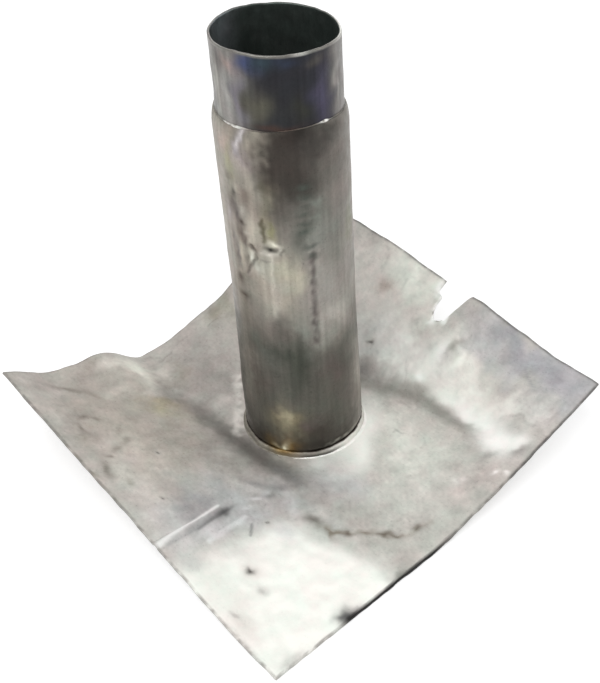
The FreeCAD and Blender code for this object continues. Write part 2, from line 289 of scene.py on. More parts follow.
sheet_smudges = (
    ((-158, -167), 14, 3.5, 55, (122, 112, 104), 0.75),
    ((-140, -150), 9, 3, 20, (140, 130, 122), 0.6),
    ((-106, -170), 5, 3, 30, (126, 116, 107), 0.7),
    ((-112, -179), 3, 5, 0, (122, 112, 104), 0.7),
    ((-99, -190), 7, 2.6, 10, (118, 108, 100), 0.75),
    ((-84, -160), 9, 3, -40, (140, 131, 123), 0.5),
    ((-57, -187), 5, 3, 50, (118, 109, 101), 0.7),
    ((-63, -175), 3, 6, 20, (126, 117, 109), 0.65),
    ((-69, -162), 5, 3, -40, (120, 111, 103), 0.65),
    ((-128, -196), 7, 4, 0, (136, 126, 118), 0.35),
    ((-20, -190), 5, 3, 0, (140, 134, 124), 0.6),
    ((138, -169), 5, 3.5, 0, (188, 188, 184), 0.7),
    ((141, -202), 4, 2.4, 30, (176, 170, 168), 0.7),
    ((128, -84), 9, 3, -20, (136, 122, 108), 0.7),
    ((206, -127), 4, 10, 0, (84, 84, 86), 0.7),
    ((-99, -181), 4, 2.5, 20, (176, 167, 158), 0.7),
    ((-44, -199), 10, 4.5, -15, (104, 97, 88), 0.75),
    # Painted shade in the hollow at the crease's inner end
    (*crease_hollow, (82, 81, 82), 0.85),
    # Painted shade along the right fold
    ((118, 97), 22, 4.5, 0, (142, 143, 137), 0.6),
    ((205, -72), 5, 9, 0, (112, 112, 106), 0.7),
    ((206, -195), 6, 12, 0, (172, 172, 168), 0.6),
    ((79, -200), 12, 9, 0, (196, 196, 194), 0.75),
    ((160, 66), 10, 7, 0, (208, 208, 202), 0.6),
    ((152, -82), 12, 8, 0, (194, 194, 188), 0.6),
    ((84, -44), 28, 17, 20, (204, 205, 207), 0.55),
    ((90, -156), 16, 12, 0, (214, 214, 210), 0.6),
    ((101, -114), 14, 10, 0, (212, 212, 214), 0.55),
    ((61, -33), 12, 8, 60, (240, 241, 238), 0.5),
    ((104, -30), 16, 12, 0, (206, 207, 209), 0.5),
    ((58, 136), 8, 8, 0, (232, 232, 234), 0.4),
    ((-4, 88), 10, 7, 0, (174, 170, 169), 0.5),
    ((40, -97), 9, 4, 30, (132, 131, 133), 0.6),
    ((60, -96), 8, 4, 60, (136, 135, 138), 0.6),
    ((57, -81), 12, 6, 70, (128, 127, 130), 0.6),
    ((50, -66), 24, 6, 5, (124, 124, 126), 0.6),
    ((108, -85), 9, 4.5, 30, (112, 110, 104), 0.8),
    # Painted shadow under the lifted front edge
    ((204, -134), 7, 9, 0, (52, 52, 54), 0.92),
    ((201, -139), 5, 3, 30, (84, 84, 86), 0.7),
    ((133, -80), 7, 3, 40, (124, 112, 94), 0.8),
    ((141, -73), 5, 3, 40, (100, 88, 74), 0.85),
    ((150, -61), 5, 2.4, 50, (112, 100, 86), 0.7),
    ((163, -50), 7, 3, 40, (92, 80, 66), 0.85),
    ((173, -45), 6, 3, 40, (100, 88, 74), 0.8),
    ((179, -24), 5, 3, 60, (100, 90, 78), 0.8),
    ((196, 92), 9, 4, 60, (128, 122, 120), 0.6),
    ((66, 144), 3, 3, 0, (146, 146, 138), 0.7),
    ((186, 46), 9, 5, 30, (172, 162, 160), 0.6),
    ((200, 38), 6, 5, 0, (170, 168, 164), 0.6),
    ((174, 74), 8, 5, 60, (150, 144, 142), 0.6),
    ((-38, 153), 9, 6, 30, (166, 150, 142), 0.7),
)

# Soft lines: route, half width, shade, strength
sheet_lines = (
    # Painted shade beside the first crease and a painted highlight along it, then a painted highlight along
    # the second crease
    (((54, -203), (53, -170), (50, -138)), 5, (138, 138, 141), 0.35),
    (((55, -172), (53, -158), (51, -142)), 3.4, (112, 112, 113), 0.6),
    (((51, -214), (47, -178), (43, -142)), 3, (240, 240, 240), 0.75),
    (second_crease, 3.6, (230, 230, 232), 0.55),
    (((78, -131), (87, -140)), 2.5, (126, 126, 128), 0.7),
    (((140, 165), (148, 158), (160, 152)), 2, (146, 145, 150), 0.6),
)

# The pipe's forms: angles in degrees round its axis, and bare lengths in millimetres
seam_angle = -22.0
seam_half = 3.2
seam_ripple = 9.5
stitch_gap = 8.5
foot_flare = 1.9
foot_flare_top = (150, 120)
foot_roll = 0.5
foot_roll_level = 13
foot_roll_angle = 5
knock_angle = -59.0
knock_level = 247 * mm
knock_reach = 22 * mm
shoulder_level = lip_level - 12 * mm
shoulder_draw = 1.7 * mm
lip_round = 1 * mm
lip_bevel = 0.5 * mm
lip_drop = 6.5 * mm
lip_dip = (70, 85)
end_step = 1 * mm
tail_step = 6 * mm

# Where the pipe's marks fade out near its ends, as start or end and run, and the run of the lip's dip
marks_bottom = (6 * mm, 6 * mm)
marks_top = (lip_level, 8 * mm)
lip_dip_run = 50 * mm
hair = 0.01 * mm

# Zones of the pipe, in degrees round it and millimetres up: middle and half, or start or end and run
seam_bottom = (9, 4)
seam_top = (333, 6)
seam_thick = (235, 20)
stitches_across = (4, 7)
stitches_up = (271, 34)
# The pale left flank is partly pale patina and partly painted reflection
pale_flank = (-110, 40)
pale_flank_bottom = (150, 60)
# The dark column under the shoulder is partly brown stain and partly painted dark reflection
dark_column_left = (-72, 18)
dark_column_right = (14, 42)
dark_column_bottom = (246, 60)
grey_shade = (14, 30)
grey_shade_bottom = (270, 40)
# The dark foot and the dark lowest band are painted shade, darker towards the foot
dark_foot_top = (172, 50)
dark_foot_left = (-150, 40)
dark_foot_right = (120, 70)
dark_ring_top = (44, 34)

# Lines and stitches on the pipe, placed by degrees round it and millimetres up
hook_line = ((-75, 241), (-70, 235), (-70, 229), (-77, 220), (-81, 211))
seam_line = ((-20, 232), (-21, 196), (-22, 165), (-22, 140))
seam_stitches = ((-24, 297), (-24, 288), (-23, 280), (-26, 273), (-26, 264), (-26, 256), (-21, 241),
                 (-20, 231))
stitch_dab = (6, 2.8, 0, (78, 84, 78), 0.75)
pipe_lines = ((hook_line, 2.6, (88, 84, 78), 0.7), (seam_line, 12, (166, 163, 157), 0.4))

# Shares of each axis for unevenness that is drawn out along the pipe
drawn_out = (1, 1, 0.05)

# Soft marks on the pipe, placed by degrees and millimetres, with the columns of the sheet's soft marks
pipe_clouds = (
    ((-97, 334), 8, 10, 0, (178, 160, 150), 0.7),
    ((-90, 312), 6, 20, 0, (162, 160, 132), 0.7),
    ((-76, 334), 5, 11, 0, (162, 156, 168), 0.7),
    ((-75, 342), 4, 5, 0, (206, 202, 204), 0.8),
    ((-3, 346), 4, 2, 20, (160, 158, 150), 0.5),
    ((25, 290), 18, 40, 0, (126, 117, 111), 0.6),
    ((-124, 318), 7, 50, 0, (100, 96, 84), 0.6),
    ((-95, 190), 8, 25, 0, (130, 124, 110), 0.4),
    ((-95, 105), 12, 50, 0, (148, 144, 138), 0.8),
    ((-19, 284), 6, 4, 0, (148, 156, 148), 0.6),
    ((-19, 268), 6, 4, 0, (144, 152, 144), 0.6),
    ((-69, 322), 3, 12, 0, (112, 102, 110), 0.6),
    ((-41, 312), 16, 22, 0, (64, 58, 54), 0.7),
    ((-16, 312), 9, 16, 0, (88, 82, 77), 0.6),
    ((-58, 292), 8, 14, 0, (92, 88, 76), 0.8),
    ((-11, 258), 22, 28, 0, (121, 125, 118), 0.78),
    ((-9, 246), 8, 10, 0, (142, 145, 139), 0.55),
    ((8, 229), 8, 10, 0, (114, 114, 106), 0.5),
    ((8, 272), 12, 14, 0, (108, 103, 98), 0.5),
    ((-28, 255), 9, 14, 0, (84, 86, 80), 0.75),
    ((28, 245), 8, 24, 0, (132, 132, 112), 0.6),
    ((-60, 262), 9, 18, 0, (138, 134, 112), 0.6),
    ((-50, 205), 20, 24, 0, (172, 168, 156), 0.8),
    ((-58, 192), 5, 32, 0, (182, 178, 170), 0.7),
    ((-40, 217), 11, 17, 0, (194, 190, 172), 0.8),
    ((-8, 196), 18, 34, 0, (156, 152, 148), 0.75),
    ((-54, 158), 13, 13, 0, (98, 92, 88), 0.7),
    ((5, 162), 16, 17, 0, (188, 182, 177), 0.88),
    ((-31, 148), 7, 18, 0, (150, 153, 146), 0.7),
    ((2, 134), 9, 12, 0, (150, 146, 139), 0.55),
    ((-13, 157), 7, 12, 0, (176, 174, 168), 0.5),
    ((-14, 144), 7, 18, 0, (152, 151, 144), 0.7),
    ((-74, 130), 9, 26, 0, (112, 116, 110), 0.5),
    ((-55, 126), 10, 16, 0, (72, 74, 68), 0.7),
    ((-42, 116), 17, 26, 0, (62, 66, 59), 0.88),
    ((-74, 270), 8, 36, 0, (160, 153, 143), 0.7),
    ((-76, 232), 9, 28, 0, (196, 190, 178), 0.7),
    ((-66, 206), 9, 32, 0, (178, 173, 162), 0.7),
    ((-79, 320), 6, 16, 0, (174, 166, 159), 0.6),
    ((-66, 317), 5, 12, 0, (118, 112, 106), 0.7),
    ((19, 185), 10, 40, 0, (166, 161, 155), 0.7),
    ((-50, 72), 12, 12, 0, (120, 116, 106), 0.6),
    ((-26, 36), 18, 14, 0, (50, 43, 36), 0.75),
    ((-4, 100), 12, 22, 0, (106, 94, 92), 0.6),
    ((14, 66), 12, 16, 0, (116, 106, 104), 0.6),
    ((-79, 92), 10, 22, 0, (106, 99, 95), 0.6),
    ((30, 80), 8, 50, 0, (142, 138, 130), 0.6),
    ((36, 56), 15, 48, 0, (194, 188, 182), 0.78),
    ((20, 48), 9, 16, 0, (152, 145, 140), 0.75),
    ((-54, 44), 16, 16, 0, (146, 138, 112), 0.9),
    ((-57, 48), 6, 16, 0, (196, 188, 162), 0.75),
    ((-8, 14), 34, 10, 0, (32, 28, 24), 0.85),
    ((-30, 44), 10, 8, 0, (112, 98, 98), 0.5),
    ((-61, 15), 13, 8, 0, (152, 119, 58), 0.9),
    # Painted highlight on the golden spot
    ((-62, 18), 5.5, 3.6, 0, (255, 250, 224), 1),
    ((-2, 28), 16, 14, 0, (58, 52, 48), 0.5),
    ((-10, 337), 22, 20, 0, (45, 43, 40), 0.75),
    ((8, 304), 14, 16, 0, (98, 93, 88), 0.6),
    ((-57, 311), 5, 12, 0, (108, 102, 94), 0.6),
    ((-59, 339), 8, 9, 0, (170, 164, 152), 0.7),
    ((0, 347), 14, 6, 0, (52, 50, 46), 0.6),
)

# Marks on the pipe's left flank, raised where they are lighter than a middle shade and sunk where darker
flank_mid_shade = 150
flank_marks = (
    ((-85, 293), 3, 3.4, 0, (172, 166, 154), 0.7),
    ((-71, 298), 5, 16, 0, (176, 166, 156), 0.7),
    ((-98, 266), 4, 8, 0, (172, 168, 172), 0.5),
    ((-81, 273), 4, 4, 0, (186, 180, 172), 0.7),
    ((-79, 252), 4, 1.6, 0, (200, 194, 184), 0.7),
    ((-72, 256), 6, 14, 0, (180, 172, 161), 0.7),
    ((-86, 230), 3.4, 18, 0, (190, 182, 168), 0.8),
    ((-74, 229), 2.8, 5, 0, (222, 220, 212), 0.9),
    ((-70, 218), 4, 4, 0, (200, 198, 190), 0.8),
    ((-90, 209), 3.4, 2, 0, (190, 180, 168), 0.7),
    ((-76, 287), 7, 9, 0, (124, 112, 104), 0.8),
    ((-90, 287), 3, 4, 0, (74, 68, 60), 0.9),
    ((-92, 276), 4, 9, 0, (98, 91, 88), 0.85),
    ((-87, 267), 3, 8, 0, (88, 82, 82), 0.8),
    ((-83, 261), 3.4, 2.6, 0, (64, 54, 48), 0.95),
    ((-85, 250), 4, 9, 0, (96, 85, 78), 0.8),
    ((-80, 243), 3, 6, 0, (86, 76, 70), 0.75),
    ((-73, 240), 4, 2.4, 0, (92, 78, 70), 0.75),
    ((-80, 226), 2.4, 8, 0, (96, 90, 82), 0.7),
    ((-91, 227), 2.4, 12, 0, (98, 92, 90), 0.75),
    ((-92, 201), 4, 6, 0, (88, 76, 68), 0.9),
    ((-90, 184), 7, 3, 0, (76, 64, 54), 0.9),
    ((-96, 243), 2.6, 7, 0, (114, 106, 102), 0.6),
    ((-94, 300), 4, 6, 0, (110, 104, 94), 0.7),
)

# The knock on the pipe, in millimetres round the wall and up from its middle
knock_hole = (2.8, -6.8)
knock_hole_turn = -8
knock_glint = (6, -1.5)
knock_glint_turn = -25
knock_groove = ((-3, 20), (-1.5, 1))
knock_lines = (
    (((-3, 20), (-2.5, 10), (-1.5, 1)), 4, (84, 80, 62), 0.85),
    (((5, 17), (5.5, 7)), 3.4, (104, 100, 78), 0.6),
    (((13, -7), (10.5, -12)), 2.2, (96, 90, 84), 0.75),
    (((-7, -19.5), (3, -20)), 2, (130, 125, 120), 0.6),
    (((3.5, -14), (2, -48)), 2.2, (196, 192, 182), 0.6),
)
knock_dabs = (
    ((4.5, 9), 3.5, 9, 0, (150, 148, 116), 0.6),
    (knock_glint, 5, 2.6, knock_glint_turn, (238, 236, 220), 1),
    ((9.5, -6), 2, 3, 0, (214, 210, 200), 0.8),
    ((2, -11), 8, 2.2, 0, (204, 200, 192), 0.8),
    # Painted shade filling the knock's hole, near black
    (knock_hole, 5.2, 2.6, knock_hole_turn, (14, 12, 10), 1),
)

# The spigot's rim: its slant, its rises (height, angle, half width), its pinch and the glints on it
rim_slant = 8 * mm
rim_low_angle = 72.0
rim_rises = ((1.5 * mm, 105, 50), (-1.6 * mm, 214, 42))
rim_pinch = (1.4 * mm, 226, 42)
rim_glints = ((1, 50, 45), (0.2, -98, 20), (0.6, -18, 12))

# Where the spigot's dark bore starts, and the start and run of its free end and of the rim's own finish
# The bore is dark with soot and painted shade
dark_bore_start = spigot_middle - 0.6 * mm
free_end = (lip_level, 20 * mm)
rim_face_up = (rim_level - 2 * mm, 1 * mm)
rim_face_across = (spigot_middle - 0.4 * mm, 0.5 * mm)

# Zones of the spigot, in degrees round it: middle and half, or start or end and run
tint_left = (-84, 32)
tint_right = (36, 36)
# A side of the bore with painted light, and the far rim dark with soot and painted shade
lit_bore_side = (202, 34)
sooty_shaded_rim = (142, 92)

# Heat tints, placed by degrees and millimetres, with the columns of the sheet's soft marks
spigot_tints = (
    ((-101, 378), 5, 40, 0, (152, 150, 144), 0.8),
    ((-88, 372), 8, 45, 0, (158, 156, 154), 0.75),
    ((-84, 400), 8, 7, 0, (176, 150, 144), 0.65),
    ((-97, 401), 8, 12, 0, (86, 84, 82), 0.75),
    ((-66, 403), 10, 7, 0, (54, 66, 106), 0.75),
    ((-50, 403), 9, 5, 0, (54, 72, 80), 0.65),
    ((-32, 402), 13, 5, 0, (46, 54, 72), 0.7),
    ((-75, 368), 6, 22, 0, (116, 113, 126), 0.7),
    ((-58, 366), 13, 14, 0, (88, 86, 75), 0.8),
    ((-20, 362), 12, 10, 0, (54, 55, 46), 0.6),
    ((-4, 398), 7, 4, 0, (84, 80, 72), 0.6),
    ((1, 366), 9, 24, 0, (74, 70, 92), 0.75),
    ((22, 375), 4, 30, 0, (146, 142, 138), 0.6),
    ((-42, 349), 20, 3, 0, (66, 50, 44), 0.85),
)

# The burned joints: the low lip's section (millimetres out and up), ripples, and drips (angle, width, size)
foot_lip = ((4.4, 0.55), (4.9, 0.9), (5.7, 0.75), (6.7, 0.4), (7.6, 0.05))
lip_start = foot_lip[0][0]
joint_step = 2 * mm
joint_ripple = 7.2 * mm
lip_drips = ((-84, 14, 0.9), (2, 5, 1.4), (60, 9, 0.8), (140, 12, 0.7), (-160, 7, 0.8))
lip_weld_sink = 0.05 * mm
lip_leg_range = (0.35, 2.0)
lip_leg_share = 0.62
lip_bead_width = 0.92
foot_bead_start = 1 * mm
foot_bead_width = 2.9 * mm
groove_height = 1 * mm
bead_fullness = 0.8

# Zones of the joints, in degrees round and millimetres out: middle and half, or start or end and run
wide_lip = (35, 80)
narrow_side = (78, 48)
burned_left = (-56, 22)
burned_right = (78, 30)
dull_out = (1.6, 0.8)
contact_out = (2.6, 0.8)
crest_out = (3.0, 0.9)
crest_round = (15, 60)
pale_out = (2.2, 0.8)
pale_left = (-32, 36)
groove_out = (4.1, 0.7)
groove_right = (4, 24)
bright_out = (lip_start, 0.5)
golden_out = (5, 2)
golden_spot = ((-62, 0), 13, 9)
brown_lip = (-38, 45)
bright_lip = (-86, 24)
bright_drip = (3, 12)

# Lead's warm and cool tints, and the depths of its drawn scratches and dimples
warm_tint = (1.03, 0.99, 0.98)
cool_tint = (0.975, 1.01, 0.98)
scratch_depth = 0.3 * mm
dimple_depth = 0.8 * mm

# The stage: the floor, and the lamps' size, degrees round from the camera, degrees up and distance
floor_half = 6.0
floor_gap = 0.2 * mm
key_lamp = (1.6, -32, 58, 2.0)
right_lamp = (1.0, 85, 30, 1.8)
back_lamp = (1.0, 175, 40, 1.8)


def tone(red, green, blue):
    """A colour as the eye reads it, 0 to 255, turned into linear light."""
    share = np.array((red, green, blue)) / 255
    return np.where(share <= 0.04045, share / 12.92, ((share + 0.055) / 1.055) ** 2.4)


def ramp(distance, half):
    """Distance past a bend line: nothing before the bend, a parabola across it, then straight."""
    curve = (distance + half) ** 2 / (4 * half)
    return np.where(distance <= -half, 0, np.where(distance >= half, distance, curve))


def bell(share):
    """A smooth hump, one at its middle and nothing past a share of one on either side."""
    return np.where(np.abs(share) < 1, np.cos(np.pi * share / 2) ** 2, 0)


def ease(share):
    """A smooth step from nothing at zero to one at one."""
    share = np.clip(share, 0, 1)
    return share * share * (3 - 2 * share)


def past(place, stretch):
    """A smooth step up along a stretch, which is its start and its run."""
    start, run = stretch
    return ease((place - start) / run)


def before(place, stretch):
    """A smooth step down along a stretch, which is its end and its run."""
    end, run = stretch
    return ease((end - place) / run)


def stretch_of(place, stretch):
    """A smooth hump along a stretch, which is its middle and its half length."""
    middle, half = stretch
    return bell((place - middle) / half)


def flat_places(x, y):
    """Places in plan as points at level zero, where unevenness is worked out in plan."""
    return np.stack([x, y, np.zeros_like(x)], -1)


def coat(places, colour):
    """An even coat of one colour over a grid of places."""
    return np.zeros(places.shape) + np.array(colour)


def swell(places, length, seed, waves=28):
    """Soft unevenness about nothing: many plane waves near one length, each with a heading and phase."""
    draw = np.random.default_rng(seed)
    heading = draw.normal(size=(waves, 3))
    heading /= np.linalg.norm(heading, axis=1)[:, None]
    number = 2 * np.pi / (length * draw.uniform(0.6, 1.5, waves))
    phase = draw.uniform(0, 2 * np.pi, waves)
    total = np.zeros(places.shape[:-1])
    for way, count, start in zip(heading, number, phase):
        total += np.sin(count * (places @ way) + start)
    return total / math.sqrt(waves / 2)


def route_distance(across, along, route):
    """Distance of every place from a bent line through the route's points."""
    nearest = np.full(np.shape(across), np.inf)
    for (x0, y0), (x1, y1) in zip(route, route[1:]):
        run_x, run_y = x1 - x0, y1 - y0
        share = ((across - x0) * run_x + (along - y0) * run_y) / (run_x ** 2 + run_y ** 2)
        share = np.clip(share, 0, 1)
        nearest = np.minimum(nearest, np.hypot(across - x0 - share * run_x, along - y0 - share * run_y))
    return nearest


def blot(across, along, middle, half_long, half_wide, turn=0.0):
    """A soft oval mark, one at its middle and fading out past its half sizes."""
    cosine, sine = math.cos(math.radians(turn)), math.sin(math.radians(turn))
    off_x, off_y = across - middle[0], along - middle[1]
    out_long = (off_x * cosine + off_y * sine) / half_long
    out_wide = (off_y * cosine - off_x * sine) / half_wide
    return np.exp(-(out_long ** 2 + out_wide ** 2))


def streak(across, along, route, half):
    """A soft line mark, one on the route and nothing past its half width."""
    return bell(route_distance(across, along, route) / half)


def paint(colours, mask, shade):
    """Colours drawn towards a shade by a mask from nothing to one."""
    return colours + np.clip(mask, 0, 1)[..., None] * (np.asarray(shade) - colours)


def dab(colours, across, along, marks):
    """Colours with soft oval marks painted on: middle, half length and width, turn, shade, strength each."""
    for middle, long, wide, turn, shade, strength in marks:
        colours = paint(colours, strength * blot(across, along, middle, long, wide, turn), tone(*shade))
    return colours


def trace(colours, across, along, lines):
    """Colours with soft lines painted on: route, half width, shade and strength of each."""
    for route, half, shade, strength in lines:
        colours = paint(colours, strength * streak(across, along, route, half), tone(*shade))
    return colours


def grid_piece(name, places, colours, body, node, material):
    """A piece from a grid of places that closes on itself both ways, with a colour at every place.

    Square (i, j) joins places (i, j), (i + 1, j), (i + 1, j + 1) and (i, j + 1), counted round."""
    rows, columns = places.shape[:2]
    index = np.arange(rows * columns).reshape(rows, columns)
    down, over = np.roll(index, -1, 0), np.roll(index, -1, 1)
    corner = np.roll(down, -1, 1)
    squares = np.stack([index, down, corner, over], -1).reshape(-1, 4)
    mesh = bpy.data.meshes.new(name)
    mesh.vertices.add(rows * columns)
    mesh.vertices.foreach_set("co", places.reshape(-1).astype(np.float32))
    mesh.loops.add(squares.size)
    mesh.loops.foreach_set("vertex_index", squares.reshape(-1).astype(np.int32))
    mesh.polygons.add(len(squares))
    mesh.polygons.foreach_set("loop_start", np.arange(0, squares.size, 4, dtype=np.int32))
    mesh.update(calc_edges=True)
    finish = mesh.attributes.new("finish", "FLOAT_COLOR", "POINT")
    full = np.ones((rows * columns, 4), np.float32)
    full[:, :3] = colours.reshape(-1, 3)
    finish.data.foreach_set("color", full.reshape(-1))
    mesh.polygons.foreach_set("use_smooth", np.ones(len(squares), bool))
    mesh.set_sharp_from_angle(angle=math.radians(50))
    mesh.materials.append(material)
    mesh.validate()
    piece = bpy.data.objects.new(name, mesh)
    bpy.context.scene.collection.objects.link(piece)
    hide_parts(node)
    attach(piece, body)
    return piece


def add_node(tree, kind, **values):
    """A shader node with some of its inputs and settings filled in."""
    node = tree.nodes.new(kind)
    for key, value in values.items():
        if key in node.inputs:
            node.inputs[key].default_value = value
        else:
            setattr(node, key, value)
    return node


def spread(tree, value, low, high, to_low, to_high):
    """A value between low and high spread from to_low to to_high."""
    node = add_node(tree, "ShaderNodeMapRange")
    for key, setting in zip(("From Min", "From Max", "To Min", "To Max"), (low, high, to_low, to_high)):
        node.inputs[key].default_value = setting
    tree.links.new(value, node.inputs["Value"])
    return node.outputs["Result"]


def spots(tree, places, scale, detail, low, high, to_low, to_high):
    """Cloudy noise at a scale in cycles per metre, its middle range spread from to_low to to_high."""
    noise = add_node(tree, "ShaderNodeTexNoise", Scale=scale, Detail=detail, Roughness=0.6)
    tree.links.new(places, noise.inputs["Vector"])
    return spread(tree, noise.outputs["Fac"], low, high, to_low, to_high)


def combined(tree, way, first, second):
    """Two values joined by a way of reckoning, such as ADD or MULTIPLY."""
    node = add_node(tree, "ShaderNodeMath", operation=way)
    tree.links.new(first, node.inputs[0])
    tree.links.new(second, node.inputs[1])
    return node.outputs["Value"]


def lead_finish(name, grain, mottle, roughness, metallic, dents, drawn, streaks):
    """Dull lead: the piece's own patina colour, clouded, speckled and tinted, with dents and drawn scratches.

    Grain is the clouds' scale in cycles per metre, and drawn the scratches' scale along each axis. Mottle and
    streaks are shares of the colour. The metal shows less where the patina is bright."""
    material = bpy.data.materials.new(name)
    material.use_nodes = True
    tree = material.node_tree
    tree.nodes.clear()
    output = add_node(tree, "ShaderNodeOutputMaterial")
    surface = add_node(tree, "ShaderNodeBsdfPrincipled")
    tree.links.new(surface.outputs["BSDF"], output.inputs["Surface"])
    places = add_node(tree, "ShaderNodeTexCoord").outputs["Object"]
    patina = add_node(tree, "ShaderNodeAttribute", attribute_name="finish").outputs["Color"]
    tree.links.new(spread(tree, patina, 0.6, 0.9, metallic, metallic * 0.2), surface.inputs["Metallic"])

    clouds = spots(tree, places, grain, 5.0, 0.3, 0.7, -mottle, mottle)
    speckle = spots(tree, places, grain * 11, 4.0, 0.3, 0.7, -mottle * 0.6, mottle * 0.6)
    pits = spots(tree, places, grain * 17, 3.0, 0.3, 0.4, -mottle * 1.6, 0.0)
    stretch = add_node(tree, "ShaderNodeMapping", Scale=drawn)
    tree.links.new(places, stretch.inputs["Vector"])
    lines = spots(tree, stretch.outputs["Vector"], 1.0, 4.0, 0.3, 0.7, -streaks, streaks)
    broad = combined(tree, "ADD", clouds, speckle)
    uneven = combined(tree, "ADD", broad, combined(tree, "ADD", pits, lines))
    calm = spread(tree, patina, 0.5, 0.85, 1.0, 0.25)
    level = add_node(tree, "ShaderNodeMath", operation="ADD")
    level.inputs[1].default_value = 1.0
    tree.links.new(combined(tree, "MULTIPLY", uneven, calm), level.inputs[0])
    shaded = add_node(tree, "ShaderNodeVectorMath", operation="SCALE")
    tree.links.new(patina, shaded.inputs[0])
    tree.links.new(level.outputs["Value"], shaded.inputs["Scale"])

    hue = add_node(tree, "ShaderNodeValToRGB")
    hue.color_ramp.elements[0].color = (*warm_tint, 1)
    hue.color_ramp.elements[1].color = (*cool_tint, 1)
    tree.links.new(spots(tree, places, grain * 1.7, 3.0, 0.35, 0.65, 0.0, 1.0), hue.inputs["Fac"])
    tinted = add_node(tree, "ShaderNodeVectorMath", operation="MULTIPLY")
    tree.links.new(shaded.outputs["Vector"], tinted.inputs[0])
    tree.links.new(hue.outputs["Color"], tinted.inputs[1])
    tree.links.new(tinted.outputs["Vector"], surface.inputs["Base Color"])
    tree.links.new(spots(tree, places, grain * 4, 4.0, 0.3, 0.7, *roughness), surface.inputs["Roughness"])

    dimples = spots(tree, places, grain * 3, 4.0, 0.2, 0.8, 0.0, 1.0)
    scored = add_node(tree, "ShaderNodeBump", Strength=0.4, Distance=scratch_depth)
    dented = add_node(tree, "ShaderNodeBump", Strength=dents, Distance=dimple_depth)
    tree.links.new(lines, scored.inputs["Height"])
    tree.links.new(dimples, dented.inputs["Height"])
    tree.links.new(scored.outputs["Normal"], dented.inputs["Normal"])
    tree.links.new(dented.outputs["Normal"], surface.inputs["Normal"])
    return material


def wing_lift(x, y):
    """Lift of the sheet: a twisted left wing with edge waves and a crease, a right wing that reaches a
    straight slanting edge from its skewed and curled fold, and the trough's dished ends between them."""
    twist = left_corner_lift / ((left_flat - back_edge) * (left_bend - left_edge))
    left = twist * ramp(left_flat - x, left_twist_ease) * ramp(left_bend - y, left_bend_half)
    waves = sum(tall * bell((strip_left - y - out) / half) for tall, out, half in edge_waves)
    left += waves * bell((x - back_edge) / edge_wave_depth)
    crease_fade = ease((left_edge + crease_run - y) / crease_run)
    left += crease_height * bell((x - crease_line) / crease_half) * crease_fade

    def ends(reach):
        """Lift of the dished front and back ends at a reach across the trough."""
        front = front_dish_slope * ease((x - front_dish) / (front_edge - front_dish))
        back = back_dish_slope * ease((back_dish - x) / (back_dish - back_edge))
        return (front + back) * ramp(reach - dish_start, dish_ease)

    fold = right_fold + right_fold_skew * x - fold_curl * np.maximum(0, x - fold_curl_start) ** 2
    along = (front_edge - x) / sheet_side
    edge_lift = right_corner_lift + (back_corner_lift - right_corner_lift) * along
    slope = (edge_lift - ends(right_edge)) / (right_edge - fold)
    ridge = ridge_height * bell((x - ridge_line) / ridge_half) * bell((right_edge - y) / ridge_run)
    return left + ends(y) + slope * ramp(y - fold, right_bend_half) + ridge


def dressing(x, y):
    """Marks of hand work on the sheet: soft unevenness, ridges and grooves along routes, oval swells and
    hollows, the ring of a dent, pits, and rises of the right edge. All fade out towards the pipe."""
    places = flat_places(x, y)
    across, along = x / mm, y / mm
    work = 0.42 * swell(places, 75 * mm, 3) + 0.16 * swell(places, 26 * mm, 4)
    for tall, route, half in sheet_ridges:
        work += tall * streak(across, along, route, half)
    for tall, *oval in sheet_swells:
        work += tall * blot(across, along, *oval)
    off_x, off_y = across - ring_dent[0], along - ring_dent[1]
    ring = stretch_of(np.hypot(off_x, off_y * 1.2), dent_hollow)
    work -= 0.5 * ring * stretch_of(off_y, dent_hollow_side)
    for spot, size in sheet_pits:
        work -= 0.25 * size * blot(across, along, spot, size, size * 0.8)
    for tall, middle, half, reach in edge_rises:
        work += tall * bell((across - middle) / half) * bell((right_edge / mm - along) / reach)
    return work * mm * ease((np.hypot(x, y) - pan_radius) / dressing_ease)


def sheet_outline(settings):
    """Points round the sheet's edge from the front left corner, closer at the notch and near fine marks.

    Each run between two corners is divided evenly by its own step, then roughened inwards."""
    coarse, fine, torn_step = settings.edge_step, settings.fine_step, settings.torn_step
    notch = [
        (notch_line + off * mm, right_edge - deep * mm, torn_step)
        for off, deep in reversed(notch_outline)
    ]
    # The run that starts at the notch's last corner is plain edge again
    notch[-1] = notch[-1][:2] + (coarse,)
    corners = [
        (front_edge, left_edge, coarse),
        (front_edge, left_edge + fine_front_start, fine),
        (front_edge, 0, coarse),
        (front_edge, right_edge, coarse),
        (notch[0][0] + fine_notch_run, right_edge, fine),
        *notch,
        (back_edge, right_edge, coarse),
        (back_edge, left_edge, coarse),
        (crease_line - fine_crease_back, left_edge, torn_step),
        (crease_line + fine_crease_front, left_edge, coarse),
    ]
    sides, torn = [], []
    for (x0, y0, step), (x1, y1, _) in zip(corners, corners[1:] + corners[:1]):
        count = max(2, round(math.dist((x0, y0), (x1, y1)) / step))
        share = np.arange(count)[:, None] / count
        sides.append(np.array((x0, y0)) * (1 - share) + np.array((x1, y1)) * share)
        torn.append(np.full(count, float((x0, y0, step) in notch[:-1])))
    outline, torn = np.concatenate(sides), np.concatenate(torn)
    places = flat_places(outline[:, 0], outline[:, 1])
    nick = edge_nick * (1 + swell(places, 17 * mm, 8)).clip(0, 2.4)
    nick += torn * torn_nick * (1 + swell(places, 5 * mm, 9)).clip(0, 2)
    inwards = -outline / np.hypot(outline[:, 0], outline[:, 1])[:, None]
    return outline + inwards * nick[:, None]


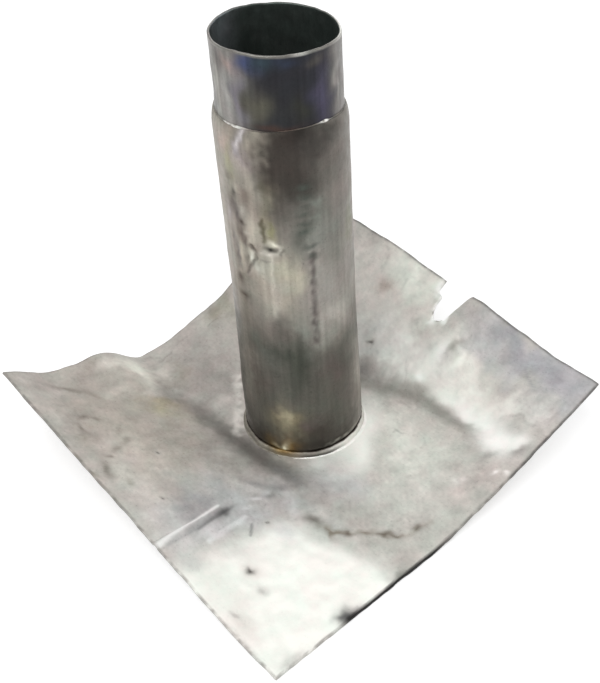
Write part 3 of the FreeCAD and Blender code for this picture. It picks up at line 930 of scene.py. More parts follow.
def scuffed(colours, across, along, count, seed):
    """Colours with short faint strokes at random, some darker and some lighter than what lies under them."""
    draw = np.random.default_rng(seed)
    for _ in range(count):
        start = draw.uniform((back_edge / mm, left_edge / mm), (front_edge / mm, right_edge / mm))
        heading, run = draw.uniform(0, 2 * np.pi), draw.uniform(5, 26)
        end = start + run * np.array((math.cos(heading), math.sin(heading)))
        shade = draw.choice((0.8, 0.86, 1.1))
        mask = streak(across, along, (start, end), draw.uniform(2, 4)) * draw.uniform(0.4, 1)
        colours = colours * (1 + mask * (shade - 1))[..., None]
    return colours


def painted_highlights(colours, x, y, bent, bright):
    """Painted highlight on the white front corner, ending on a bent line, and painted sheen round the foot.
    """
    bend_x, bend_y = bent
    corner_x, corner_y = zip(*white_corner)
    inwards = np.interp(bend_x, corner_x, corner_y) - bend_y
    slanted = bend_x - white_corner_slant * (bend_y - left_edge / mm)
    corner = past(slanted, white_corner_back) * past(inwards, white_corner_fade)
    # Painted highlight over the white front corner
    highlight_unevenness = 0.94 + 0.06 * np.clip(swell(flat_places(x, y), 16 * mm, 28), -1, 1)
    colours = paint(colours, corner * highlight_unevenness, bright)
    # Painted sheen on the sheet round the pipe's foot
    heading = np.arctan2(y, x)
    reach = foot_glow_reach + foot_glow_bulge * stretch_of(heading, foot_bulge_heading)
    glow = before(np.hypot(x, y) / mm, (reach, foot_glow_fade))
    return paint(colours, 0.92 * glow * stretch_of(heading, foot_glow_heading), bright)


def painted_bend_shade(colours, places, far, near, bend_shade):
    """Painted shade down the left bend, pale mottles beside it, and grey painted shade on the right fold."""
    fade = past(near[0], bend_shade_back) * (0.55 + 0.45 * stretch_of(near[0], bend_shade_middle))
    for half, strength in ((30, 0.45), (15, 0.65)):
        colours = paint(colours, strength * fade * streak(*near, left_bend_shade, half), bend_shade)
    speckled = np.clip(0.65 + 0.35 * swell(places, 10 * mm, 34), 0, 1)
    colours = paint(colours, 0.68 * speckled * streak(*near, left_mottles, 11), tone(220, 216, 211))
    fade = 0.68 - 0.23 * past(far[0], fold_shade_fade)
    return paint(colours, fade * streak(*near, right_fold_shade, 16), tone(124, 123, 116))


def dent_ring(colours, near_x, near_y):
    """The ring of the dent by the notch, lit on its near side and shaded on its far side."""
    off_x, off_y = near_x - ring_dent[0], near_y - ring_dent[1]
    ring = stretch_of(np.hypot(off_x, off_y), dent_shine)
    lit = (0.8 * off_x - 0.35 * off_y) / dent_shine[0]
    colours = paint(colours, 0.8 * ring * ease(lit), tone(240, 240, 234))
    return paint(colours, 0.52 * ring * ease(-1.4 * lit), tone(150, 150, 142))


def cut_edges(colours, x, y, rim, near):
    """The sheet's edges: a broken dark rim, soiled and dusty stretches, painted shade on the front edge, a
    darker right edge, painted black shadow under the front, and a painted glint along the torn notch.
    """
    places = flat_places(x, y)
    across, along = x / mm, y / mm
    from_left, from_right, from_front = y - left_edge, right_edge - y, front_edge - x
    broken = np.clip(0.65 + 0.3 * swell(places, 9 * mm, 29), 0.2, 1)
    colours = paint(colours, 0.7 * rim * broken, tone(112, 109, 105))
    soiled = bell(from_left / (9 * mm)) * stretch_of(across, soiled_left)
    soiled *= np.clip(swell(places, 8 * mm, 33), 0, 1)
    colours = paint(colours, 0.45 * soiled, tone(112, 108, 92))
    dotted = np.clip(0.8 + 0.25 * swell(places, 6 * mm, 35), 0.3, 1)
    dusty = bell(from_left / (6 * mm)) * stretch_of(across, dusty_left)
    colours = paint(colours, 0.55 * dusty * dotted, tone(140, 136, 132))
    # Painted shade along the front edge, and a darker right edge
    dark_share = ease(1 - from_front / (3 * mm)) * past(along, shaded_front)
    dark_share = np.maximum(dark_share, ease(1 - from_right / (3 * mm)))
    colours = paint(colours, 0.85 * dark_share * dotted, tone(92, 90, 89))
    # Painted black shadow under the lifted front edge
    edge_shadow = ease((3.4 * mm - from_front) / (1.6 * mm)) * past(along, front_edge_shadow)
    edge_shadow *= 1 - 0.85 * past(along, front_shadow_fade)
    colours = paint(colours, edge_shadow, tone(22, 21, 20))
    # Painted glint along the torn notch
    torn = [(notch_line / mm + off, right_edge / mm - deep) for off, deep in notch_outline[:6]]
    notch_glint = np.clip(0.7 + 0.5 * swell(places, 8 * mm, 32), 0, 1)
    return paint(colours, notch_glint * streak(*near, torn, 9), tone(254, 254, 252))


def sheet_colours(x, y, rim, settings):
    """Patina of the sheet, laid on in turn: clouded grey zones, the painted highlight of the front corner,
    painted sheen round the foot, painted shade along the bends, dabs, lines, smudges and pits, and then
    the edges. The coordinates wander, so that no mark ends evenly."""
    places = flat_places(x, y)
    drift_x, drift_y = 5 * swell(places, 42 * mm, 21), 5 * swell(places, 42 * mm, 23)
    far_x = x / mm + drift_x + 1.6 * swell(places, 12 * mm, 22)
    far_y = y / mm + drift_y + 1.6 * swell(places, 12 * mm, 24)
    near_x = x / mm + 0.7 * swell(places, 11 * mm, 25)
    near_y = y / mm + 0.7 * swell(places, 11 * mm, 26)
    bend_x, bend_y = x / mm + drift_x / 2, y / mm + drift_y / 2
    far, near = (far_x, far_y), (near_x, near_y)

    colours = dab(coat(places, settings.grey), *far, sheet_clouds)
    colours = scuffed(colours, *far, 90, 27)
    colours *= (1 + 0.035 * swell(places, 17 * mm, 30) + 0.025 * swell(places, 7 * mm, 31))[..., None]
    colours = painted_highlights(colours, x, y, (bend_x, bend_y), np.array(settings.bright))
    colours = painted_bend_shade(colours, places, far, near, np.array(settings.bend_shade))
    colours = dab(colours, (bend_x + near_x) / 2, (bend_y + near_y) / 2, bright_dabs)
    colours = dent_ring(colours, *near)
    colours = trace(colours, x / mm, y / mm, sheet_lines)
    colours = paint(colours, 0.3 * streak(*near, front_scratch, 5), tone(134, 124, 108))
    colours = dab(colours, *near, sheet_smudges)
    for spot, size in sheet_pits:
        colours = paint(colours, 0.5 * blot(*near, spot, size * 2.2, size * 1.9), tone(210, 206, 200))
        colours = paint(colours, 0.95 * blot(*near, spot, size, size * 0.7), tone(78, 75, 72))
    return cut_edges(colours, x, y, rim, near)


def sheet_grid(settings):
    """The dressed sheet as a closed section carried round its outline.

    The section runs from the pipe's hole along the underside to the edge, round the edge, and back along the
    upper face. A place in plan lies a share of the way from the hole's rim to the outline, on a line from the
    pipe's axis. The underside stands at the lift, and the upper face a thickness away, square to it."""
    outline = sheet_outline(settings)
    soft = edge_round / sheet_side
    under = np.linspace(0, 1 - soft, settings.under_rows)
    upper = np.linspace(1 - soft * 4, 0, settings.upper_rows)
    share = np.concatenate([under, [1, 1, 1 - soft], upper])
    raised = np.concatenate([np.zeros_like(under), edge_heights, np.ones_like(upper)])
    angle = np.arctan2(outline[:, 1], outline[:, 0])
    inner = hole_radius * np.stack([np.cos(angle), np.sin(angle)], -1)
    plan = inner[:, None] + (outline - inner)[:, None] * share[None, :, None]
    x, y = plan[..., 0], plan[..., 1]

    def height(at_x, at_y):
        """Level of the underside, with the hand work on it."""
        return wing_lift(at_x, at_y) + dressing(at_x, at_y)

    step = slope_step
    slope_x = (height(x + step, y) - height(x - step, y)) / (2 * step)
    slope_y = (height(x, y + step) - height(x, y - step)) / (2 * step)
    square = np.stack([-slope_x, -slope_y, np.ones_like(x)], -1)
    square /= np.linalg.norm(square, axis=-1, keepdims=True)
    places = np.concatenate([plan, height(x, y)[..., None]], -1)
    places += square * (sheet_thickness * raised)[None, :, None]
    lowest = (sheet_thickness * raised * least_height)[None, :]
    places[..., 2] = np.maximum(places[..., 2], lowest)
    places[..., 0] = np.clip(places[..., 0], back_edge, front_edge)
    places[..., 1] = np.clip(places[..., 1], left_edge, right_edge)
    rim = np.broadcast_to(ease((share - 1 + 2 * soft) / soft)[None, :], x.shape)
    return places, sheet_colours(x, y, rim, settings)


def turned_grid(profile, around):
    """A closed outline of (radius, level) rows carried round the pipe's axis.

    Gives every place's angle, turn in degrees, radius and level, all but the angle as full grids."""
    angle = np.linspace(-np.pi, np.pi, around, endpoint=False)[:, None]
    radius = np.broadcast_to(profile[:, 0], (around, len(profile))).copy()
    level = np.broadcast_to(profile[:, 1], (around, len(profile))).copy()
    turn = np.broadcast_to(np.degrees(angle), radius.shape)
    return angle, turn, radius, level


def rounded(angle, radius, level):
    """Places at an angle, a radius and a level about the pipe's axis."""
    return np.stack([radius * np.cos(angle), radius * np.sin(angle), level + 0 * angle], -1)


def rows_between(start, end, step):
    """Rows of (radius, level) from start up to end, about a step apart, without the last one."""
    count = max(1, round(math.dist(start, end) / step))
    share = np.arange(count)[:, None] / count
    return np.array(start) * (1 - share) + np.array(end) * share


def lip_fall(turn):
    """How far the pipe's lip stands below its highest side, which is a soft dip on the right."""
    return lip_drop * stretch_of(turn, lip_dip)


def pipe_profile(settings):
    """The pipe's wall: up the outside, over the arc of the drawn-in shoulder, and down the tapered inside."""
    run = lip_level - lip_round - shoulder_level
    arc_radius = (run ** 2 + shoulder_draw ** 2) / (2 * shoulder_draw)
    rise = np.linspace(0, run, 10)
    draw = arc_radius - np.sqrt(arc_radius ** 2 - rise ** 2)
    shoulder = np.stack([pipe_radius - draw, shoulder_level + rise], -1)
    lip_outside = pipe_radius - shoulder_draw - lip_bevel
    lip_inside = spigot_radius + spigot_clearance
    inside = settings.inside_step
    knock_low, knock_high = knock_level - knock_reach, knock_level + knock_reach
    return np.concatenate([
        rows_between((pipe_radius, 0), (pipe_radius, knock_low), settings.outside_step),
        rows_between((pipe_radius, knock_low), (pipe_radius, knock_high), settings.fine_step),
        rows_between((pipe_radius, knock_high), (pipe_radius, shoulder_level), settings.outside_step),
        shoulder,
        rows_between((lip_outside, lip_level), (lip_inside, lip_level), end_step),
        rows_between((lip_inside, lip_level), (bore_radius, tail_level), inside),
        rows_between((bore_radius, tail_level), (bore_radius, 0), inside),
        rows_between((bore_radius, 0), (pipe_radius, 0), end_step),
    ])


def from_knock(turn, up):
    """Millimetres round the pipe's wall and up from the middle of the knock."""
    return np.radians(turn - knock_angle) * pipe_radius / mm, up - knock_level / mm


def pipe_marks(turn, level, places):
    """Swelling of the pipe's wall, in millimetres: the rippled seam and its stitches, a flared foot with a
    small roll, the knock with its hole, glint and groove, the hook, the flank marks and soft unevenness."""
    arc = np.radians(turn - seam_angle) * pipe_radius / mm
    up = level / mm
    ripple = 0.62 + 0.38 * np.cos(2 * np.pi * (up - 0.12 * arc ** 2) / seam_ripple)
    ends = past(up, seam_bottom) * before(up, seam_top)
    marks = (0.12 + 0.48 * past(up, seam_thick)) * bell(arc / seam_half) * ripple * ends
    stitches = stretch_of(arc, stitches_across) * np.cos(2 * np.pi * up / stitch_gap)
    marks += 0.4 * stitches * stretch_of(up, stitches_up)
    marks += foot_flare * before(up, foot_flare_top)
    marks += foot_roll * bell((up - foot_roll_level) / 2.6) * bell((turn - foot_roll_angle) / 40)
    knock = from_knock(turn, up)
    marks -= 1.1 * bell(np.hypot(*knock) / 8.5)
    marks -= 1.0 * blot(*knock, knock_hole, 3.8, 1.6, knock_hole_turn)
    marks += 0.55 * blot(*knock, knock_glint, 4, 2, knock_glint_turn)
    marks -= 0.4 * streak(*knock, knock_groove, 2.2)
    hook = route_distance(turn, up, hook_line)
    marks += 0.35 * bell((hook - 3) / 3) - 0.5 * bell(hook / 2)
    for middle, long, wide, lean, shade, strength in flank_marks:
        way = 1 if np.mean(shade) > flank_mid_shade else -1
        marks += 0.3 * strength * way * blot(turn, up, middle, long, wide, lean)
    return marks + 0.16 * swell(places, 60 * mm, 31) + 0.07 * swell(places, 17 * mm, 32)


def pipe_colours(turn, level, places, inside, settings):
    """Patina of the pipe: light flanks of patina and painted reflection, a brown column under the shoulder
    of stain and painted dark reflection, painted shade towards the foot, clouds, a painted highlight on
    the foot's roll, the seam with its stitches, the hook, the knock, drawn streaks, and a plain inside."""
    up = level / mm + 4 * swell(places, 35 * mm, 41) + 1.2 * swell(places, 9 * mm, 42)
    side = turn + 3 * swell(places, 35 * mm, 43) + 1.0 * swell(places, 9 * mm, 44)
    # Pale left flank, partly patina and partly painted reflection
    flank = stretch_of(side, pale_flank) * past(up, pale_flank_bottom)
    colours = paint(coat(places, settings.grey), 0.85 * flank, tone(164, 157, 148))
    # Dark column under the shoulder, partly brown stain and partly painted dark reflection
    stain_and_reflection = past(side, dark_column_left) * before(side, dark_column_right) * past(up, dark_column_bottom)
    colours = paint(colours, 0.97 * stain_and_reflection, np.array(settings.brown))
    shadowed = stretch_of(side, grey_shade) * past(up, grey_shade_bottom)
    colours = paint(colours, 0.4 * shadowed, tone(104, 98, 92))
    # Painted shade, darker towards the foot and darkest in the lowest band
    foot = before(up, dark_foot_top) * past(side, dark_foot_left) * before(side, dark_foot_right)
    colours = paint(colours, 0.85 * foot, np.array(settings.foot))
    colours = paint(colours, 0.75 * before(up, dark_ring_top), tone(60, 52, 46))
    colours = dab(colours, side, up, pipe_clouds)

    near_side = turn + 0.6 * swell(places, 9 * mm, 45)
    near_up = level / mm + 0.6 * swell(places, 9 * mm, 46)
    colours = dab(colours, near_side, near_up, flank_marks)
    # Painted highlight along the small roll at the pipe's foot
    roll = bell((near_up - foot_roll_level) / 2.4) * bell((turn - foot_roll_angle) / 34)
    colours = paint(colours, 0.8 * roll, tone(164, 162, 154))
    colours = trace(colours, near_side, near_up, pipe_lines)
    dark_share = np.clip(0.9 + 0.2 * swell(places, 10 * mm, 47), 0.5, 1)
    colours = paint(colours, 0.9 * dark_share * streak(near_side, near_up, seam_line, 5.5), tone(92, 86, 84))
    colours = dab(colours, near_side, near_up, [(spot, *stitch_dab) for spot in seam_stitches])
    knock = from_knock(near_side, near_up)
    colours = trace(colours, *knock, knock_lines)
    colours = dab(colours, *knock, knock_dabs)
    colours *= (1 + 0.05 * swell(places * drawn_out, 5 * mm, 48))[..., None]
    return paint(colours, inside, tone(112, 117, 116))


def pipe_grid(settings):
    """The pipe: its wall's outline carried round the axis, swollen by its marks on the outside only."""
    profile = pipe_profile(settings)
    angle, turn, radius, level = turned_grid(profile, settings.around)
    places = rounded(angle, radius, level)
    drawn_in = pipe_radius - shoulder_draw
    outside = (profile[:, 0] > drawn_in - hair) * past(profile[:, 1], marks_bottom)
    outside = outside * before(profile[:, 1], marks_top)
    radius += pipe_marks(turn, level, places) * mm * outside[None, :]
    inside = (profile[:, 0] < drawn_in - lip_bevel - hair) * 1.0
    colours = pipe_colours(turn, level, places, np.broadcast_to(inside, level.shape), settings)
    level -= lip_fall(turn) * ease((level - lip_level) / lip_dip_run + 1)
    return rounded(angle, radius, level), colours


def spigot_profile(settings):
    """The spigot's wall: up the flared tail and the outside, round the rim, and down the bore."""
    half = (spigot_radius - spigot_bore) / 2
    bend = np.linspace(0, np.pi, 9)
    rim = np.stack([spigot_middle + half * np.cos(bend), rim_level - half + half * np.sin(bend)], -1)
    tail_radius = bore_radius - spigot_clearance
    step = settings.wall_step
    return np.concatenate([
        rows_between((tail_radius, tail_level), (spigot_radius, lip_level), tail_step),
        rows_between((spigot_radius, lip_level), (spigot_radius, rim_level - half), step),
        rim,
        rows_between((spigot_bore, rim_level - half - step), (spigot_bore, tail_level), step),
        rows_between((spigot_bore, tail_level), (tail_radius, tail_level), end_step),
    ])


def spigot_colours(turn, level, places, inside, lip, settings):
    """Heat tints of the spigot: light flanks, a navy middle, and blue, teal, rose, olive and violet patches.

    The bore is sooty with painted shade and has painted light on one side, and the rim is bright in front
    and sooty with painted shade behind."""
    up = level / mm + 1.6 * swell(places, 22 * mm, 51)
    side = turn + 1.8 * swell(places, 22 * mm, 53)
    tinted = past(side, tint_left) * before(side, tint_right)
    colours = paint(coat(places, settings.grey), 0.97 * tinted, np.array(settings.navy))
    colours = dab(colours, side, up, spigot_tints)
    colours *= (1 + 0.08 * swell(places * drawn_out, 5 * mm, 54))[..., None]
    # Soot and painted shade in the bore, and painted light on one side of it
    colours = paint(colours, inside, np.array(settings.soot_and_shade))
    colours = paint(colours, 0.8 * inside * stretch_of(side % 360, lit_bore_side), tone(150, 156, 162))
    colours = paint(colours, lip, tone(122, 120, 116))
    bright = sum(strength * stretch_of(turn, glint) for strength, *glint in rim_glints)
    colours = paint(colours, lip * bright, tone(218, 216, 212))
    # Soot and painted shade on the far half of the rim
    return paint(colours, lip * ease(1.6 * stretch_of(turn % 360, sooty_shaded_rim)), tone(30, 32, 30))


def spigot_grid(settings):
    """The spigot: its wall carried round the axis, a little out of round, with an uneven and slanting rim.

    The rim falls by the cosine of the angle from its low side, and its unevenness grows from the lip up."""
    profile = spigot_profile(settings)
    angle, turn, radius, level = turned_grid(profile, settings.around)
    places = rounded(angle, radius, level)
    free = past(profile[:, 1], free_end)[None, :]
    rim = rounded(angle, np.full(angle.shape, spigot_radius), np.full(angle.shape, rim_level))
    drop = 0.3 * (1 + swell(rim, 55 * mm, 61)) + 0.1 * (1 + swell(rim, 12 * mm, 62))
    fall = rim_slant / 2 * (1 + radius / spigot_radius * np.cos(angle - math.radians(rim_low_angle)))
    rise = np.clip((level - lip_level) / (rim_level - lip_level), 0, 1)
    level -= fall * rise + np.clip(drop, 0, 1.2) * mm * free ** 3
    for tall, *hump in rim_rises:
        level += tall * stretch_of(turn % 360, hump) * free ** 3
    pinch_depth, *pinched = rim_pinch
    uneven = 0.22 * swell(rim, 90 * mm, 63) + 0.08 * swell(places, 16 * mm, 64)
    radius += (uneven * mm - pinch_depth * stretch_of(turn % 360, pinched)) * free
    inside = (profile[:, 0] < dark_bore_start) * 1.0
    lip = past(profile[:, 1], rim_face_up) * past(profile[:, 0], rim_face_across)
    inside, lip = np.broadcast_to(inside, level.shape), np.broadcast_to(lip, level.shape)
    return rounded(angle, radius, level), spigot_colours(turn, level, places, inside, lip, settings)


def foot_weld_profile():
    """Section of the joint at the foot: up the pipe, down a round roll, over a low lip, back underneath."""
    base, top = sheet_thickness, sheet_thickness + weld_leg
    bend = np.linspace(0, np.pi / 2, 9)
    roll_out = pipe_radius + foot_bead_start + foot_bead_width * np.sin(bend) ** bead_fullness
    roll = np.stack([roll_out, top - (weld_leg - groove_height) * (1 - np.cos(bend))], -1)
    lip = np.array(foot_lip) * mm + (pipe_radius, base)
    under = rows_between((lip[-1, 0], base), (pipe_radius, base), joint_step)
    wall = rows_between((pipe_radius, base), (pipe_radius, top), joint_step)
    return np.concatenate([wall, roll, lip, under])[::-1]


def foot_weld_colours(turn, out, places, settings):
    """Finish of the joint at the foot, by turn and millimetres out from the pipe: a dark contact line, a
    painted highlight along the roll's crest, a pale roll and lip on the burned front, a dark groove
    between them, a dull back, and a golden stain."""
    uneven = 0.85 + 0.15 * np.clip(swell(places, 9 * mm, 74), -1, 1)
    burned = past(turn, burned_left) * before(turn, burned_right)
    dulled = (1 - burned) * past(out, dull_out) * uneven
    colours = paint(coat(places, settings.dull), 0.85 * dulled, tone(140, 136, 126))
    colours = paint(colours, before(out, contact_out), tone(58, 51, 45))
    # Painted highlight along the crest of the roll
    crest = stretch_of(out, crest_out) * stretch_of(turn, crest_round) * uneven
    colours = paint(colours, 0.85 * crest, tone(208, 206, 198))
    pale = past(out, pale_out) * past(turn, pale_left) * burned
    colours = paint(colours, 0.9 * pale, tone(226, 226, 221))
    groove = burned * stretch_of(out, groove_out) * before(turn, groove_right)
    colours = paint(colours, 0.92 * groove, tone(40, 37, 33))
    colours = paint(colours, burned * past(out, bright_out) * uneven, np.array(settings.bright))
    golden = before(out, golden_out) * blot(turn, 0 * out, *golden_spot)
    return paint(colours, 0.9 * golden, tone(132, 106, 58))


def foot_weld_grid(settings):
    """The burned joint at the pipe's foot: its section carried round the pipe, rippled, and narrower where
    less lead was burned on."""
    profile = foot_weld_profile()
    angle, turn, radius, level = turned_grid(profile, settings.around)
    places = rounded(angle, radius, level)
    out = (profile[:, 0] - pipe_radius) / mm
    wide = 0.3 + 0.7 * stretch_of(turn, wide_lip)
    radius -= (1 - wide) * np.maximum(out - lip_start, 0)[None, :] * mm
    radius -= 0.7 * stretch_of(turn, narrow_side) * out[None, :] * mm
    free = (out > 0.3) * (profile[:, 1] > sheet_thickness + 0.2 * mm)
    phase = 2 * np.pi * np.radians(turn) * pipe_radius / joint_ripple
    ripple = np.cos(phase + 0.6 * swell(places, 30 * mm, 71))
    radius += (0.16 * ripple + 0.35 * swell(places, 22 * mm, 72)) * mm * free[None, :]
    level += (0.08 * ripple + 0.1 * swell(places, 14 * mm, 73)) * mm * free[None, :]
    level = np.maximum(level, sheet_thickness)
    out = np.broadcast_to(out, radius.shape)
    return rounded(angle, radius, level), foot_weld_colours(turn, out, places, settings)


def lip_weld_grid(settings):
    """The burned joint at the lip: a small swollen fillet whose leg runs thick and thin, with drips."""
    angle = np.linspace(-np.pi, np.pi, settings.around, endpoint=False)[:, None]
    turn = np.degrees(angle)
    ring = rounded(angle, np.full(angle.shape, spigot_radius), np.full(angle.shape, lip_level))
    leg = 0.75 + 0.3 * swell(ring, 24 * mm, 81) + 0.15 * swell(ring, 7 * mm, 82)
    for middle, wide, tall in lip_drips:
        leg = leg + tall * blot(turn, 0 * turn, (middle, 0), wide, 1)
    leg = np.clip(leg, *lip_leg_range) * lip_weld_leg * lip_leg_share
    bend = np.linspace(0, np.pi / 2, 7)[None, :]
    out = np.concatenate([np.zeros((1, 1)), lip_bead_width * np.cos(bend) ** bead_fullness], 1)
    rise = np.concatenate([np.zeros((1, 1)), np.sin(bend) ** bead_fullness], 1)
    radius = spigot_radius - lip_weld_sink + leg * out
    level = lip_level - lip_weld_sink + leg * rise - lip_fall(turn)
    places = rounded(angle, radius, level)
    turn = np.broadcast_to(turn, radius.shape)
    specks = 0.6 + 0.4 * np.clip(swell(places, 5 * mm, 83), -1, 1)
    colours = paint(coat(places, settings.dull), 0.9 * stretch_of(turn, brown_lip), tone(70, 54, 46))
    bright = np.array(settings.bright)
    colours = paint(colours, 0.85 * specks * stretch_of(turn, bright_lip), bright)
    return places, paint(colours, specks * stretch_of(turn, bright_drip), bright)


def outwards(heading, rise):
    """A direction by its heading round the pipe's axis from +X and its rise above the floor."""
    return Vector((math.cos(rise) * math.cos(heading), math.cos(rise) * math.sin(heading), math.sin(rise)))


def set_camera(scene, settings):
    """A camera at its place, looking down along its side and dip, and leaning by its roll."""
    side, roll = settings.side, settings.roll
    back = outwards(side, settings.dip)
    level = Vector((-math.sin(side), math.cos(side), 0))
    above = back.cross(level)
    right = math.cos(roll) * level + math.sin(roll) * above
    upright = math.cos(roll) * above - math.sin(roll) * level
    lens = bpy.data.cameras.new("outlet_camera")
    lens.lens = settings.lens
    lens.clip_start = 0.01
    camera = bpy.data.objects.new("outlet_camera", lens)
    turn = Matrix((right, upright, back)).transposed().to_4x4()
    camera.matrix_world = Matrix.Translation(settings.place) @ turn
    scene.collection.objects.link(camera)
    scene.camera = camera


def lay_floor(scene, settings):
    """A wide pale floor just under the sheet, which glows a little to the eye and keeps the shadows."""
    half, low = floor_half, -floor_gap
    corners = [(-half, -half, low), (half, -half, low), (half, half, low), (-half, half, low)]
    mesh = bpy.data.meshes.new("floor")
    mesh.from_pydata(corners, [], [(0, 1, 2, 3)])
    floor = bpy.data.objects.new("floor", mesh)
    scene.collection.objects.link(floor)
    material = bpy.data.materials.new("pale_floor")
    material.use_nodes = True
    tree = material.node_tree
    surface = tree.nodes["Principled BSDF"]
    surface.inputs["Base Color"].default_value = (*settings.floor, 1)
    surface.inputs["Roughness"].default_value = 0.9
    surface.inputs["Specular IOR Level"].default_value = 0.1
    surface.inputs["Emission Color"].default_value = (1, 1, 1, 1)
    rays = add_node(tree, "ShaderNodeLightPath").outputs
    seen = combined(tree, "ADD", rays["Is Camera Ray"], rays["Is Glossy Ray"])
    seen = combined(tree, "ADD", seen, rays["Is Transmission Ray"])
    tree.links.new(spread(tree, seen, 0, 1, 0, settings.glow), surface.inputs["Emission Strength"])
    mesh.materials.append(material)


def hang_lights(scene, settings):
    """A soft sky, one large lamp high on the left, and smaller ones on the right and behind the outlet."""
    world = bpy.data.worlds.new("studio")
    world.use_nodes = True
    sky = world.node_tree.nodes["Background"]
    sky.inputs["Color"].default_value = (1, 1, 1, 1)
    sky.inputs["Strength"].default_value = settings.sky
    scene.world = world
    for name, power, size, turn, height, away in (
        ("key_lamp", settings.key, *key_lamp),
        ("right_lamp", settings.right, *right_lamp),
        ("back_lamp", settings.back, *back_lamp),
    ):
        light = bpy.data.lights.new(name, "AREA")
        light.energy = power
        light.size = size
        lamp = bpy.data.objects.new(name, light)
        direction = outwards(settings.side + math.radians(turn), math.radians(height))
        aim = direction.to_track_quat("Z", "Y").to_matrix().to_4x4()
        lamp.matrix_world = Matrix.Translation(direction * away) @ aim
        scene.collection.objects.link(lamp)


class OUTLET_sheet_settings(bpy.types.PropertyGroup):
    """Fineness and patina of the sheet."""

    edge_step: FloatProperty(name="Edge Step", description="Spacing of the points along a cut edge",
                             default=2.9 * mm, unit="LENGTH")
    fine_step: FloatProperty(name="Fine Step", description="Spacing of the points near fine marks",
                             default=1.6 * mm, unit="LENGTH")
    torn_step: FloatProperty(name="Torn Step", description="Spacing of the points along the torn notch",
                             default=1.2 * mm, unit="LENGTH")
    under_rows: IntProperty(name="Underside Rows", description="Rows from the hole to the edge below",
                            default=22)
    upper_rows: IntProperty(name="Upper Rows", description="Rows from the hole to the edge above",
                            default=112)
    grey: FloatVectorProperty(name="Grey", description="Dull lead", subtype="COLOR", size=3,
                              default=tone(186, 182, 177))
    # On the sheet this colour paints the highlight of the front corner and the sheen round the pipe's foot
    bright: FloatVectorProperty(name="Bright", description="Rubbed or freshly burned lead", subtype="COLOR",
                                size=3, default=tone(246, 247, 242))
    # The colour of the painted shade along the sheet's bends
    bend_shade: FloatVectorProperty(name="Dirt", description="Dirt gathered in the bends", subtype="COLOR", size=3,
                              default=tone(74, 70, 64))


class OUTLET_pipe_settings(bpy.types.PropertyGroup):
    """Fineness and patina of the pipe."""

    around: IntProperty(name="Around", description="Points round the pipe", default=400)
    outside_step: FloatProperty(name="Outside Step", description="Spacing of the rows up the outside",
                                default=2.3 * mm, unit="LENGTH")
    fine_step: FloatProperty(name="Fine Step", description="Spacing of the rows across the knock",
                             default=0.9 * mm, unit="LENGTH")
    inside_step: FloatProperty(name="Inside Step", description="Spacing of the rows down the inside",
                               default=12 * mm, unit="LENGTH")
    grey: FloatVectorProperty(name="Grey", description="Handled lead", subtype="COLOR", size=3,
                              default=tone(134, 129, 123))
    # Brown of the column under the shoulder, partly stain and partly painted dark reflection
    brown: FloatVectorProperty(name="Brown", description="Brown stain under the shoulder", subtype="COLOR",
                               size=3, default=tone(51, 45, 41))
    # The colour of the painted shade towards the pipe's foot
    foot: FloatVectorProperty(name="Foot", description="Dark stain round the foot", subtype="COLOR", size=3,
                              default=tone(91, 91, 85))


class OUTLET_spigot_settings(bpy.types.PropertyGroup):
    """Fineness and heat tints of the spigot."""

    around: IntProperty(name="Around", description="Points round the spigot", default=360)
    wall_step: FloatProperty(name="Wall Step", description="Spacing of the rows along the wall",
                             default=1.6 * mm, unit="LENGTH")
    grey: FloatVectorProperty(name="Grey", description="Plain lead of the flanks", subtype="COLOR", size=3,
                              default=tone(117, 114, 111))
    navy: FloatVectorProperty(name="Navy", description="Deep heat tint", subtype="COLOR", size=3,
                              default=tone(34, 35, 41))
    # Soot and painted shade of the bore
    soot_and_shade: FloatVectorProperty(name="Soot", description="Blackened bore", subtype="COLOR", size=3,
                              default=tone(80, 88, 85))


class OUTLET_weld_settings(bpy.types.PropertyGroup):
    """Fineness and finish of the burned joints."""

    around: IntProperty(name="Around", description="Points round a joint", default=480)
    bright: FloatVectorProperty(name="Bright", description="Freshly burned lead", subtype="COLOR", size=3,
                                default=tone(250, 250, 247))
    dull: FloatVectorProperty(name="Dull", description="Burned lead gone dull", subtype="COLOR", size=3,
                              default=tone(126, 121, 115))


class OUTLET_stage_settings(bpy.types.PropertyGroup):
    """Camera, floor and light."""

    lens: FloatProperty(name="Lens", description="Focal length", default=57.74, subtype="DISTANCE_CAMERA")
    place: FloatVectorProperty(name="Place", description="Where the camera stands", size=3,
                               subtype="TRANSLATION", default=(0.61788, -0.48948, 0.75336))
    side: FloatProperty(name="Side", description="Direction of the camera round the pipe's axis from +X",
                        default=math.radians(-38.492), subtype="ANGLE")
    dip: FloatProperty(name="Dip", description="How far the camera looks down", default=math.radians(39.76),
                       subtype="ANGLE")
    roll: FloatProperty(name="Roll", description="How far the camera leans", default=math.radians(-4.46),
                        subtype="ANGLE")
    floor: FloatVectorProperty(name="Floor", description="Colour of the floor", subtype="COLOR", size=3,
                               default=(0.6, 0.6, 0.6))
    glow: FloatProperty(name="Glow", description="Light that the floor adds to look white", default=0.5)
    sky: FloatProperty(name="Sky", description="Strength of the room's light", default=0.62)
    key: FloatProperty(name="Key", description="Power of the large lamp on the left", default=22,
                       unit="POWER")
    right: FloatProperty(name="Right", description="Power of the lamp on the right", default=5,
                         unit="POWER")
    back: FloatProperty(name="Back", description="Power of the lamp behind the outlet", default=4,
                        unit="POWER")


